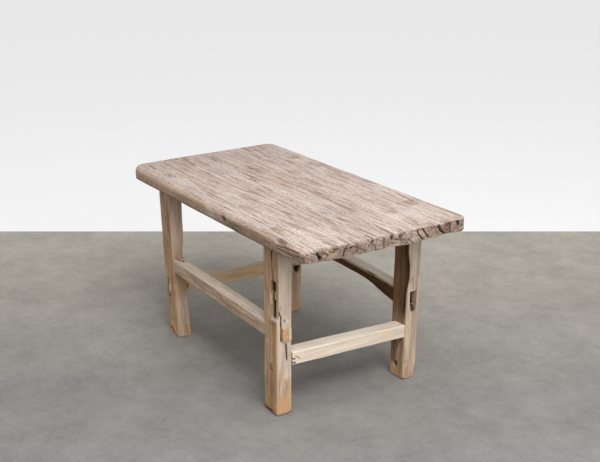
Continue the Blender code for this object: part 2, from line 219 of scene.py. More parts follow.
class Surface:
    """The points of one piece while it is shaped, with their way out, sides and tones."""

    def __init__(self, points, outward, sides):
        self.points = points
        self.outward = outward
        self.sides = sides
        self.push = np.zeros(len(points))
        self.tones = {tone: np.zeros(len(points)) for tone in TONES}

    def facing(self, side):
        """How far each point faces that side, from 0 to 1."""
        axis, end = SIDES[side]
        return np.clip(self.outward[:, axis] * (1 if end == HIGH else -1), 0, 1)

    def stain(self, tone, amount):
        self.tones[tone] = np.maximum(self.tones[tone], np.clip(amount, 0, 1))

    def mark(self, mark):
        chosen = self.sides[mark.side]
        plane = others(SIDES[mark.side][0])
        away, share = to_path(self.points[chosen][:, plane], mark.path)
        reach = np.clip(1 - away / mark.width, 0, 1)
        if mark.taper and len(mark.path) > 1:
            reach = reach * np.clip(mark.taper * END_STEEPNESS * np.minimum(share, 1 - share), 0, 1)
        self.push[chosen] -= mark.depth * reach * reach * (3 - 2 * reach)
        if mark.tone:
            tone = self.tones[mark.tone]
            tone[chosen] = np.maximum(tone[chosen], mark.amount * np.clip(reach * TONE_STEEPNESS, 0, 1))

    def pushed(self):
        return self.points + self.outward * self.push[:, None]


def rounded(u, v, half_u, half_v, radius):
    """Moves a rectangle's points so that its corners are round.

    Gives the new places, the way out and the inset.
    """
    inset = np.minimum(half_u - np.abs(u), half_v - np.abs(v))
    radius = np.maximum(radius - inset, 1e-7)
    flank = half_u - np.abs(u) <= half_v - np.abs(v)
    centre_u = half_u - inset - radius
    centre_v = half_v - inset - radius
    turn = np.clip(np.where(flank, np.abs(v) - centre_v, np.abs(u) - centre_u) / radius, 0, 1) * math.pi / 4
    out_u = np.where(flank, np.cos(turn), np.sin(turn))
    out_v = np.where(flank, np.sin(turn), np.cos(turn))
    corner = turn > 0
    place_u = np.where(corner, centre_u + radius * out_u, np.abs(u))
    place_v = np.where(corner, centre_v + radius * out_v, np.abs(v))
    side_u = np.where(u < 0, -1.0, 1.0)
    side_v = np.where(v < 0, -1.0, 1.0)
    return place_u * side_u, place_v * side_v, out_u * side_u, out_v * side_v, inset


def rim(inset, depth, on_end, radius):
    """Which points lie on the round edge of a flat end, and how far the way out turns there."""
    on_face = np.clip(1 - inset / radius, 0, 1)
    beside = 2 - np.clip(1 - depth / radius, 0, 1)
    return np.where(on_end, inset, depth) < radius, np.where(on_end, on_face, beside) * math.pi / 4


# How high the fine ridges of a hewn piece stand, and how deep its dry checks are
RIDGE_HEIGHT = 0.00035
CHECK_DEPTH = 0.0012


def weathered(points, axis, hollows, ridges, checks, gate, seed):
    """Wear of a hewn piece, from its wave lengths across and along the grain.

    Gives the soft hollows, the relief of the fine ridges and dry checks, and the checks alone.
    """
    hollow = layered(points, along_grain(axis, *hollows), seed)
    ridge = layered(points, along_grain(axis, *ridges), seed + 3, 2)
    check = np.clip(1 - np.abs(noise(points, along_grain(axis, *checks), seed + 5)) / 0.1, 0, 1)
    check = check * ease(noise(points, gate, seed + 6), 0.1, 0.5)
    return hollow, RIDGE_HEIGHT * ridge - CHECK_DEPTH * check, check


# Blocks of rows: a cube cut along each axis, with holes right through it

def even(low, high, rows):
    return np.linspace(low, high, rows + 1)


def lines_between(places, rows):
    """Even lines between each two places, with the given numbers of rows."""
    parts = [even(*span)[:-1] for span in zip(places, places[1:], rows)]
    return np.concatenate([*parts, places[-1:]])


def snapped(lines, edges):
    """Moves the nearest line onto each edge. Gives the lines and the numbers of the moved ones."""
    lines = lines.copy()
    numbers = []
    for edge in edges:
        number = int(np.abs(lines - edge).argmin())
        lines[number] = edge
        numbers.append(number)
    return lines, numbers


def rowed_block(counts, holes=()):
    mesh = bmesh.new()
    bmesh.ops.create_cube(mesh, size=1.0)
    for axis in (X, Y, Z):
        edges = [
            edge for edge in mesh.edges
            if abs(edge.verts[0].co[axis] - edge.verts[1].co[axis]) > 0.5
        ]
        bmesh.ops.subdivide_edges(mesh, edges=edges, cuts=counts[axis] - 1)
    for axis, low, high in holes:
        within = []
        for face in mesh.faces:
            middle = face.calc_center_median()
            if abs(middle[axis]) < 0.4999:
                continue
            rows = [(middle[other] + 0.5) * counts[other] for other in others(axis)]
            if low[0] < rows[0] < high[0] and low[1] < rows[1] < high[1]:
                within.append(face)
        bmesh.ops.delete(mesh, geom=within, context="FACES")
        rims = [edge for edge in mesh.edges if edge.is_boundary]
        bmesh.ops.bridge_loops(mesh, edges=rims)
    bmesh.ops.recalc_face_normals(mesh, faces=mesh.faces)
    return mesh


SHARP_ANGLE = 1.1


def new_piece(name, counts, holes, shape, finish):
    """Turns a block of rows into a finished piece. shape gives its Surface from the row numbers."""
    mesh = rowed_block(counts, holes)
    data = bpy.data.meshes.new(name)
    mesh.to_mesh(data)
    mesh.free()
    places = np.empty(len(data.vertices) * 3)
    data.vertices.foreach_get("co", places)
    rows = np.rint((places.reshape(-1, 3) + 0.5) * counts).astype(int)
    surface = shape(rows)
    data.vertices.foreach_set("co", surface.pushed().ravel())
    for key, values in surface.tones.items():
        layer = data.attributes.new(key, "FLOAT", "POINT")
        layer.data.foreach_set("value", values)
    data.update()
    data.shade_smooth()
    data.set_sharp_from_angle(angle=SHARP_ANGLE)
    data.materials.append(finish)
    piece = bpy.data.objects.new(name, data)
    bpy.context.scene.collection.objects.link(piece)
    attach(piece, "root")
    return piece


def side_flags(rows, counts):
    return {name: rows[:, axis] == (0 if end == LOW else counts[axis]) for name, (axis, end) in SIDES.items()}


# Finishes

class Finish:
    """A new material, and short ways to add nodes to it."""

    def __init__(self, name):
        self.material = bpy.data.materials.new(name)
        self.material.use_nodes = True
        self.tree = self.material.node_tree
        self.shader = self.tree.nodes["Principled BSDF"]
        self.places = self.add("TexCoord", "Object", {})

    def fill(self, node, inputs):
        """Gives each input its value, or links it to an output."""
        for key, value in inputs.items():
            if isinstance(value, bpy.types.NodeSocket):
                self.tree.links.new(value, node.inputs[key])
            else:
                node.inputs[key].default_value = value

    def add(self, kind, output, inputs, **settings):
        node = self.tree.nodes.new("ShaderNode" + kind)
        for key, value in settings.items():
            setattr(node, key, value)
        self.fill(node, inputs)
        return node.outputs[output]

    def ranged(self, value, low, high, to_low=0.0, to_high=1.0):
        limits = {"From Min": low, "From Max": high, "To Min": to_low, "To Max": to_high}
        return self.add("MapRange", "Result", {"Value": value, **limits})

    def mixed(self, first, second, share, blend="MIX"):
        pair = [(*colour, 1.0) if isinstance(colour, tuple) else colour for colour in (first, second)]
        return self.add("Mix", 2, {0: share, 6: pair[0], 7: pair[1]}, data_type="RGBA", blend_type=blend)

    def joined(self, first, second, operation="MULTIPLY"):
        return self.add("Math", 0, {0: first, 1: second}, operation=operation)


def wood(name, axis, tones, streak=90.0, fibre=420.0, contrast=1.0, splits=0.5, specks=0.2):
    """Old dry wood with its grain along one axis.

    tones are light, middle, streak, patch, warm, pale and dark.
    """
    light, middle, streaked, patch, *worn = tones
    finish = Finish(name)
    add, ranged, mixed, joined = finish.add, finish.ranged, finish.mixed, finish.joined

    def stretched(along, across, shift):
        scale = along_grain(axis, across, along)
        place = (shift, shift * 1.7, shift * 2.3)
        return add("Mapping", "Vector", {"Vector": finish.places, "Scale": scale, "Location": place})

    def grain(along, across, detail, shift, output="Fac"):
        place = stretched(along, across, shift)
        return add("TexNoise", output, {"Vector": place, "Scale": 1.0, "Detail": detail, "Roughness": 0.55})

    def split_lines(along, across, width, shift):
        """Thin splits between long cells: 1 on a split and 0 beside it."""
        waver = grain(along * 2.2, across * 0.5, 2.0, shift, "Color")
        terms = {0: waver, 1: (0.9, 0.9, 0.9), 2: stretched(along, across, shift)}
        place = add("VectorMath", "Vector", terms, operation="MULTIPLY_ADD")
        cells = add("TexVoronoi", "Distance", {"Vector": place, "Scale": 1.0}, feature="DISTANCE_TO_EDGE")
        line = ranged(cells, width * 0.3, width, 1.0, 0.0)
        gate = ranged(grain(along * 1.7, across * 0.35, 2.0, shift + 4.0), 0.3, 0.6)
        return joined(line, gate)

    def attribute(key):
        return add("Attribute", "Fac", {}, attribute_name=key)

    streaks = grain(6.0, streak, 4.0, 0.0)
    bands = grain(1.6, streak / 4, 2.0, 3.1)
    fibres = grain(26.0, fibre, 3.0, 5.7)
    patches = grain(7.0, 16.0, 2.0, 9.3)
    pores = grain(110.0, fibre * 0.7, 3.0, 12.9)
    long_splits = split_lines(2.6, streak * 0.62, 0.095, 21.7)
    fine_splits = split_lines(5.5, streak * 1.25, 0.13, 33.1)

    colour = middle
    for tone, pattern, low, high, most in (
        (light, streaks, 0.42, 0.62, 1.0),
        (streaked, bands, 0.5, 0.72, 0.35 * contrast),
        (streaked, streaks, 0.44, 0.3, 0.75 * contrast),
        (patch, patches, 0.46, 0.7, 0.6),
        (streaked, fibres, 0.46, 0.3, 0.6 * contrast),
        (streaked, pores, 0.52, 0.3, specks),
    ):
        colour = mixed(colour, tone, ranged(pattern, low, high, 0.0, most))
    lively = ranged(attribute("calm"), 0.0, 1.0, splits, 0.0)
    for share in (joined(long_splits, lively), joined(joined(fine_splits, 0.8), lively), attribute("split")):
        colour = mixed(colour, SPLIT_TONE, share)
    for key, wash in WASHES.items():
        colour = mixed(colour, wash, attribute(key), "MULTIPLY")
    for key, tone in zip(("warm", "pale", "dark"), worn):
        colour = mixed(colour, tone, attribute(key))

    height = joined(joined(fibres, 0.6), joined(streaks, 0.8), "ADD")
    height = joined(height, joined(long_splits, 0.6 * splits), "SUBTRACT")
    finish.fill(finish.shader, {
        "Base Color": colour,
        "Roughness": ranged(streaks, 0.3, 0.7, 0.96, 0.78),
        "Specular IOR Level": 0.25,
        "Normal": add("Bump", "Normal", {"Strength": 0.55, "Distance": 0.0012, "Height": height}),
    })
    return finish.material


SPLIT_TONE = (0.15, 0.085, 0.06)
WASHES = {"grey": (0.66, 0.66, 0.72), "tan": (0.9, 0.755, 0.575), "brown": (0.22, 0.135, 0.08)}
PLANK_TONES = (
    (0.468, 0.406, 0.366), (0.424, 0.358, 0.318), (0.24, 0.178, 0.15), (0.396, 0.334, 0.316),
    (0.37, 0.255, 0.15), (0.62, 0.55, 0.48), (0.014, 0.009, 0.007),
)
LEG_TONES = (
    (0.54, 0.435, 0.335), (0.46, 0.36, 0.268), (0.28, 0.2, 0.135), (0.48, 0.39, 0.315),
    (0.46, 0.255, 0.115), (0.7, 0.62, 0.53), (0.014, 0.009, 0.007),
)
PALE_TONES = (
    (0.68, 0.605, 0.505), (0.62, 0.535, 0.43), (0.46, 0.36, 0.26), (0.56, 0.45, 0.34),
    (0.68, 0.45, 0.25), (0.74, 0.69, 0.62), (0.02, 0.013, 0.009),
)
plank_wood = wood("plank_elm", X, PLANK_TONES, streak=155.0, contrast=0.19, splits=0.72, specks=0.95)
leg_wood = wood("leg_elm", Z, LEG_TONES, contrast=0.85)
long_wood = wood("long_stretcher_elm", X, LEG_TONES, contrast=0.85)
# The left stretcher takes the pale tones, partly its own yellowish wood and partly painted light that lifts
# the shade it lies in under the top
left_wood = wood("left_stretcher_elm", Y, PALE_TONES, contrast=0.8, splits=0.35)
right_wood = wood("right_stretcher_elm", Y, PALE_TONES, contrast=0.28, splits=0.1)
wedge_wood = wood("wedge_split_wood", Z, LEG_TONES, streak=260.0, contrast=0.6)


# The plank

# Rows of points along and across the plank, closer together where it has detail
PLANK_LENGTHS = (-0.435, -0.425, -0.33, -0.23, 0.08, 0.093, 0.22, 0.425, 0.435)
PLANK_LENGTH_ROWS = (5, 11, 21, 28, 5, 12, 45, 4)
PLANK_WIDTHS = (-0.229, -0.219, 0.219, 0.229)
PLANK_WIDTH_ROWS = (7, 276, 7)
PLANK_COUNTS = (sum(PLANK_LENGTH_ROWS), sum(PLANK_WIDTH_ROWS), 18)
# How round the front's upper edge is worn, by place along the plank
FRONT_EDGE_PLACES = (-0.43, -0.27, -0.2, -0.1, 0.08, 0.17, 0.25, 0.32, 0.4)
FRONT_EDGE_RADII = (0.013, 0.015, 0.017, 0.015, 0.013, 0.014, 0.012, 0.013, 0.011)
# How soiled the lower half of the front side is, and how tanned the front side is, by place along the plank
FRONT_SOIL_PLACES = (-0.2, -0.12, -0.03, 0.03, 0.08, 0.14, 0.2, 0.3, 0.38, 0.42)
FRONT_SOIL = (0.0, 0.2, 0.1, 0.0, 0.14, 0.48, 0.1, 0.0, 0.08, 0.34)
FRONT_TAN_PLACES = (-0.05, 0.02, 0.12, 0.16)
FRONT_TAN = (0.9, 0.6, 0.55, 0.82)
# How far the right end's lower edge stands above or below the underside, by place across the plank
END_RISE_PLACES = (
    -0.229, -0.19, -0.14, -0.1, -0.03, 0.01, 0.05, 0.07, 0.1, 0.125, 0.15, 0.165, 0.183, 0.21,
)
END_RISES = (
    0.0062, 0.0066, 0.004, 0.0024, 0.0022, 0.002, 0.0, -0.0012, 0.0, 0.0005, 0.0026, 0.004, 0.0022, 0.0,
)
# The right end is split right through at these places, given at the top and at the bottom of the end,
# and the blocks between the splits stand at these depths
END_SPLITS = (
    (-0.1165, -0.1305), (-0.066, -0.041), (-0.0188, -0.0187), (0.071, 0.098),
    (0.0885, 0.115), (0.1375, 0.158), (0.165, 0.1765),
)
END_STEPS = (0.0, -0.0015, -0.0005, -0.001, -0.004, -0.0015, 0.0, -0.001)
# How deep the plank's wear goes: furrows of the top, hewn hollows of the sides, pits and chips of the ends
TOP_FURROW_DEPTH = 0.0009
SIDE_HOLLOW_DEPTH = 0.0011
END_PIT_DEPTH = 0.0014
END_CHIP_DEPTH = 0.0022
# Every dark mark of the right end has a brown rim, this much wider than the mark
END_MARK_RIM = 0.0028
END_MARK_BROWN = 0.42
# Holes, cracks and checks in the right end, from the front to the back
draw("top_plank", "right", "dark",
    (4.6, 3, 0.95, 1, (-223.5, 455.8)), (4, 3, 0.9, 1, (-206.5, 459)), (3.4, 2, 0.85, 1, (-210.7, 439.5)),
    (2.2, 1.5, 0.83, 0, (-223.2, 461), (-213.4, 458.8), (-200.4, 453.5)),
    (4.7, 8, 1, 0, (-195.8, 454.8), (-193.7, 448.8), (-190.3, 440)),
    (6.2, 6, 1, 0, (-190.5, 443), (-190, 440)), (2.4, 2, 0.88, 0, (-186.6, 458.8), (-169.5, 445.3)),
    (2.2, 1.6, 0.77, 0, (-157.2, 458.4), (-141.5, 453.2)),
    (2.2, 1.4, 0.66, 0, (-166.5, 452.1), (-152.4, 447.9)),
    (3.4, 6, 1, 0, (-116.4, 461), (-117.9, 458.1), (-121.7, 449.3), (-128.7, 441.2), (-130.2, 430)),
    (2.2, 1.6, 0.77, 0, (-129, 456.2), (-120.9, 449.2)), (4.7, 6, 1, 1, (-108.2, 449.4)),
    (2.2, 1.4, 0.72, 0, (-106.7, 453.2), (-90.5, 445.9)), (4.8, 6, 1, 1, (-49.2, 454.5)),
    (2.7, 3, 0.77, 1, (-59.6, 443.3)), (2.2, 1.6, 0.83, 0, (-43.8, 461), (-38.6, 455.2)),
    (2.2, 1.8, 0.77, 0, (-66.6, 461), (-58.2, 454.8), (-44.7, 441.1), (-41.1, 429)),
    (2.1, 1.4, 0.77, 0, (-72.5, 438.2), (-69, 429)),
    (2, 1, 0.55, 0, (-94, 434.5), (-92.8, 441.1), (-83.4, 442.7), (-75.2, 437.6)),
    (2.4, 3, 0.88, 0, (-18.8, 458.3), (-18.9, 446.3), (-18.7, 429)),
    (3.9, 6, 1, 0, (0, 461), (2.9, 456), (3.4, 447.1)), (4.7, 6, 1, 1, (26.1, 449.8)),
    (2.2, 1.4, 0.66, 0, (23.7, 446.8), (44.6, 436.4), (50.1, 427)),
    (1.9, 1.2, 0.66, 0, (-14.7, 435), (-3.1, 439.6), (12.2, 435.2)),
    (2.1, 1.2, 0.61, 0, (1.6, 448.9), (23.8, 443.2), (39.7, 431.7), (48.6, 424.3)),
    (2.2, 1.4, 0.66, 0, (49.6, 439.7), (60.5, 429.1), (67.7, 422)),
    (2, 1, 0.55, 0, (51.9, 460), (62.6, 457.1), (76.7, 453)),
    (3.4, 4, 1, 0, (76.7, 453), (80.6, 443.8), (95.4, 428)),
    (2.4, 2.2, 0.83, 0, (88.5, 460.8), (98, 446.2), (111.1, 430)),
    (2.1, 1.2, 0.66, 0, (122.3, 454.6), (136.8, 450)),
    (3.5, 4.5, 1, 0, (136.9, 461), (138.4, 453), (144.5, 441.8), (153.9, 434.3), (157.7, 429)),
    (2.4, 2, 0.83, 0, (164.9, 461.2), (170.9, 452.9), (175.6, 432)),
    (6, 3, 0.99, 0, (194.4, 456.3), (197.6, 448.7)), (2.9, 1.6, 0.66, 1, (211.9, 442.5)),
)
draw("top_plank", "right", "warm",
    (2, 1.6, 0.8, 0, (-14.7, 436.6), (-3.1, 441.4), (12.2, 437), (22.6, 432.2)),
    (9, 0, 0.36, 0, (-170, 448), (-152, 442)), (11, 0, 0.4, 0, (82, 448), (105, 438)),
)
draw("top_plank", "right", "brown", (11, 0, 0.62, 0, (-164, 456), (-140, 450), (-100, 444)))
# Furrows of the top that run out at the right end
draw("top_plank", "top", "split",
    (2.4, 3, 0.89, 0.5, (363.7, -104.3), (426, -109.6), (436, -115)),
    (2.4, 2.6, 0.85, 0.5, (324.6, -41.6), (359.4, -35.4), (401.6, -32.1), (436, -40)),
    (2.2, 2.4, 0.79, 0.5, (399.1, -58.3), (436, -62)),
    (2.4, 2.8, 0.85, 0.5, (353.3, 9.8), (402.8, 7.2), (436, 1)),
    (2, 1.8, 0.48, 1, (386.1, 5), (413.8, 8.8)), (2.2, 2.2, 0.79, 0.5, (394.2, 95.3), (436, 89.5)),
    (2.1, 2, 0.69, 0.5, (405.9, 121), (436, 116)), (2.2, 2, 0.69, 0.5, (391.9, 156.3), (436, 151)),
    (2.1, 1.8, 0.51, 1, (204, -36.1), (246.8, -38.5), (291.4, -36.2)),
    (1.9, 1.4, 0.34, 1, (293.8, -148.8), (355, -127), (416.6, -109.5)),
    (1.9, 1.4, 0.38, 1, (272.7, -96.6), (350.5, -91.1)), (2.1, 1.6, 0.41, 1, (321.6, 197.7)),
    (2.1, 1.6, 0.41, 1, (120.2, 95.9), (148, 95.6)), (2.1, 1.6, 0.41, 1, (163.8, 61.2), (202.2, 62.3)),
    (1.9, 1.4, 0.27, 1, (-407, -130.1), (-294.6, -117.2)),
    (1.9, 1.2, 0.27, 1, (153.9, -192.6), (227.4, -184.7)),
)
# Round the tenons in the top
draw("top_plank", "top", "split",
    (2.8, 2, 0.8, 1, (208, 208.6), (238, 205.8), (256.2, 208.9)),
    (2.8, 1.8, 0.8, 1, (251, 185), (271, 181)), (3, 1.6, 0.75, 1, (-287, 212), (-263.4, 203), (-236, 196)),
    (2, 1.2, 0.34, 1, (-315.5, 208.2), (-259.6, 198.9)),
    (2, 1.2, 0.34, 0, (-263.4, 201.4), (-271.4, 218.2)),
    (1.9, 1.4, 0.41, 1, (-313.4, -190.5), (-293, -194), (-272.8, -195.9)),
    (2, 1.4, 0.38, 0, (-293.9, -193.6), (-287, -170.5)),
    (2.1, 1.6, 0.41, 0, (-283.5, -172.5), (-279, -165.6)),
    (1.7, 1, 0.24, 1, (-310, -172), (-322, -188), (-308, -206), (-272, -207), (-242, -198)),
    (1.9, 0.8, 0.27, 1, (281, -187), (299, -185)),
)
draw("top_plank", "top", "brown", (6, 1, 0.42, 0, (252, 199), (268, 197)))
draw("top_plank", "top", "pale", (2.6, 0, 0.8, 1, (256.2, -191.6), (278, -190.3)))
# Mauve-grey and cream stains of the top, and two nicks in its left edge
draw("top_plank", "top", "grey",
    (45, 0, 0.34, 1, (190, -10), (255, 45)), (38, 0, 0.28, 1, (-20, 50), (25, 98)),
    (35, 0, 0.28, 1, (-175, 190), (-160, 200)), (40, 0, 0.4, 1, (-225, -5), (-150, 56)),
    (34, 0, 0.32, 1, (-265, -70), (-200, -40)),
)
draw("top_plank", "top", "brown", (75, 0, 0.1, 0, (240, -50), (420, -20)))
draw("top_plank", "top", "tan", (50, 0, 0.26, 0, (-260, 30), (-30, 30)))
draw("top_plank", "top", "pale",
    (34, 0, 0.14, 1, (-130, 185), (-40, 170)), (40, 0, 0.12, 1, (290, -150), (390, -120)),
    (36, 0, 0.16, 1, (320, 95), (350, 110)), (40, 0, 0.16, 1, (50, -95), (85, -80)),
)
draw("top_plank", "top", "dark",
    (3.2, 3, 0.9, 0, (-424, -96), (-408, -94)), (3, 3, 0.85, 0, (-429, -130), (-419, -127)),
)
# The front side: a nail hole, a bump, a bite out of the edge with a crack under it
draw("top_plank", "front", "dark",
    (8.8, 8, 1, 1, (86.4, 443.6)), (2.1, 1.8, 0.7, 1, (314.6, 440.7), (404.9, 439.4)),
    (3, 3, 0.7, 1, (403, 444)),
)
draw("top_plank", "front", "brown",
    (3.4, 1.4, 0.6, 1, (116.3, 432.6), (148.6, 443), (170, 440)),
    (6, 2.2, 0.62, 0.6, (310, 455.5), (340, 454), (365, 452)),
)
draw("top_plank", "front", "", (18, -1, 0, 1, (140, 440)))
draw("top_plank", "front", "split",
    (2.4, 2.2, 1, 1, (314.6, 445.8), (340, 448), (369.6, 451), (413.3, 453)),
)
draw("top_plank", "front", "pale",
    (4, -0.8, 0.25, 0, (318, 454), (323.5, 449)), (16, 0, 0.2, 0, (10, 448), (30, 440)),
)
draw("top_plank", "top", "brown", (8, 1.6, 0.62, 0.6, (308, -225), (330, -223.5), (356, -222)))
draw("top_plank", "top", "split", (3, 2, 0.8, 0.6, (310, -219), (335, -217)))
draw("top_plank", "front", "warm",
    (4.2, 0, 0.42, 1, (-270, 453), (-190, 450), (-80, 452.5), (30, 454)),
    (5, 0, 0.25, 1, (-400, 446), (-300, 444), (-220, 448)),
)
# Knots and checks on the sides that the photograph doesn't show
draw("top_plank", "back", "dark",
    (2.6, 3, 0.7, 1, (-210, 446), (-150, 443), (-80, 446)), (7.5, 3, 0.6, 1, (165, 441)),
    (2.4, 2.2, 0.6, 1, (190, 452), (270, 450), (330, 454)),
)
draw("top_plank", "left", "dark",
    (2.6, 6, 0.9, 0, (-150, 460), (-148, 440), (-151, 426.5)), (2.6, 5, 0.8, 0, (-70, 460), (-74, 442)),
    (2.8, 6, 0.9, 0, (20, 460), (17, 446), (22, 431)), (2.6, 5, 0.8, 0, (110, 458), (113, 436)),
    (4, 5, 0.9, 1, (170, 450)), (2, 2, 0.5, 1, (-30, 436), (-10, 442), (10, 436)),
)
draw("top_plank", "bottom", "dark",
    (4, 4, 0.8, 1, (-360, 60), (-150, 66), (90, 60)),
    (4, 4.5, 0.8, 0.5, (120, -70), (300, -76), (434, -70)), (14, 2, 0.6, 1, (-120, -120)),
)
# Long splits of the weathered top are strewn at random: how many, and the least and most of each measure
FURROWS = 260
FURROW_STARTS = (-0.43, 0.4)
FURROW_PLACES = (-0.222, 0.224)
FURROW_LENGTHS = (0.02, 0.14)
FURROW_WIDTHS = (0.0017, 0.0023)
FURROW_DEPTHS = (0.0007, 0.0018)
FURROW_TONES = (0.13, 0.56)
END_CRACKS = 26
END_CRACK_PLACES = (-0.205, 0.215)
END_CRACK_LENGTHS = (0.012, 0.055)
END_CRACK_DROPS = (0.003, 0.012)
END_CRACK_WIDTH = 0.0022


def strewn_furrows(side, seed):
    random = np.random.default_rng(seed)
    furrows = []
    for _ in range(FURROWS):
        start = random.uniform(*FURROW_STARTS)
        length = random.uniform(*FURROW_LENGTHS)
        across = random.uniform(*FURROW_PLACES)
        places = start + length * np.array([0, 0.35, 0.7, 1])
        offsets = np.cumsum(random.normal(0, 0.0012, 4))
        strength = random.uniform(0, 1)
        furrows.append(Mark(
            side, np.stack([places, across + offsets], axis=1), lerp(*FURROW_WIDTHS, strength),
            lerp(*FURROW_DEPTHS, strength), "split", lerp(*FURROW_TONES, strength), 0.5,
        ))
    return furrows


def end_cracks(seed):
    """Short cracks that run out over the upper edge of the right end."""
    random = np.random.default_rng(seed)
    end = PLANK_HALF[X] + 0.001
    cracks = []
    for _ in range(END_CRACKS):
        across = random.uniform(*END_CRACK_PLACES)
        length = random.uniform(*END_CRACK_LENGTHS)
        lean = random.normal(0, 0.0015)
        drop = random.uniform(*END_CRACK_DROPS)
        strength = random.uniform(0.3, 1)
        path = np.array([(end - length, across + lean), (end, across), (end + 0.014, across)])
        cracks.append(Mark("top", path, END_CRACK_WIDTH, 0.0028 * strength, "split", 0.75 * strength, 1.5))
        path = np.array([(across, TABLE_HEIGHT + 0.002), (across + lean, TABLE_HEIGHT - drop)])
        cracks.append(Mark("right", path, END_CRACK_WIDTH, 0.0022 * strength, "split", 0.9 * strength, 0))
    return cracks


def plank_body(rows, along, across):
    """The plank's points before any wear but its round edges and corners."""
    heights = even(PLANK_UNDERSIDE, TABLE_HEIGHT, PLANK_COUNTS[Z])
    sides = side_flags(rows, PLANK_COUNTS)
    u, v, z = along[rows[:, X]], across[rows[:, Y]], heights[rows[:, Z]]
    flat = np.stack([u, v, z * 0], axis=1)
    front_corner = np.where(u < 0, 0.008, -0.011)
    corner = PLANK_CORNER + np.where(v < 0, front_corner, 0.0) + 0.003 * noise(flat, (0.3, 0.3, 1), 3)
    x, y, out_x, out_y, inset = rounded(u, v, *PLANK_HALF, corner)

    # The edges are worn round, the upper ones more than the lower ones
    long_upper = np.where(v < 0, np.interp(u, FRONT_EDGE_PLACES, FRONT_EDGE_RADII), 0.005)
    rolled = ease(v, -0.14, -0.1) * ease(v, 0.01, -0.04)
    end_upper = np.where(u > 0, 0.0038 + 0.007 * rolled + 0.011 * ease(v, -0.11, -0.16), 0.0045)
    upper = lerp(long_upper, end_upper, out_x ** 2) + 0.0012 * noise(flat, (0.05, 0.03, 1), 11)
    lower = 0.0035 + 0.001 * noise(flat, (0.09, 0.09, 1), 12)
    near_top, turn_top = rim(inset, TABLE_HEIGHT - z, sides["top"], upper)
    near_bottom, turn_bottom = rim(inset, z - PLANK_UNDERSIDE, sides["bottom"], lower)
    near = near_top | near_bottom
    turn = np.where(near_top, turn_top, turn_bottom)
    radius = np.where(near_top, upper, lower)
    spread = np.where(near, inset - radius * (1 - np.sin(turn)), 0)
    x = x + out_x * spread
    y = y + out_y * spread
    drop = radius * (1 - np.cos(turn))
    z = np.where(near_top, TABLE_HEIGHT - drop, np.where(near_bottom, PLANK_UNDERSIDE + drop, z))
    upright = np.where(sides["top"], 1, np.where(sides["bottom"], -1, 0))
    aside = np.where(near, np.sin(turn), upright == 0)
    out_z = np.where(near, np.cos(turn) * np.where(near_top, 1, -1), upright)
    outward = np.stack([out_x * aside, out_y * aside, out_z], axis=1)

    # The left end was sawn askew
    skew = np.clip(0.5 - y / (2 * PLANK_HALF[Y]), 0, 1)
    x = x + np.clip(-x / PLANK_HALF[X], 0, 1) ** 2 * PLANK_SKEW * lerp(skew, skew ** 4, 0.75)
    # The underside rises at the near corner and wavers along the right end
    low_share = (TABLE_HEIGHT - z) / (TABLE_HEIGHT - PLANK_UNDERSIDE)
    z = z + low_share * ease(x, 0.33, 0.43) * np.interp(y, END_RISE_PLACES, END_RISES)
    return Surface(np.stack([x, y, z], axis=1), outward, sides)


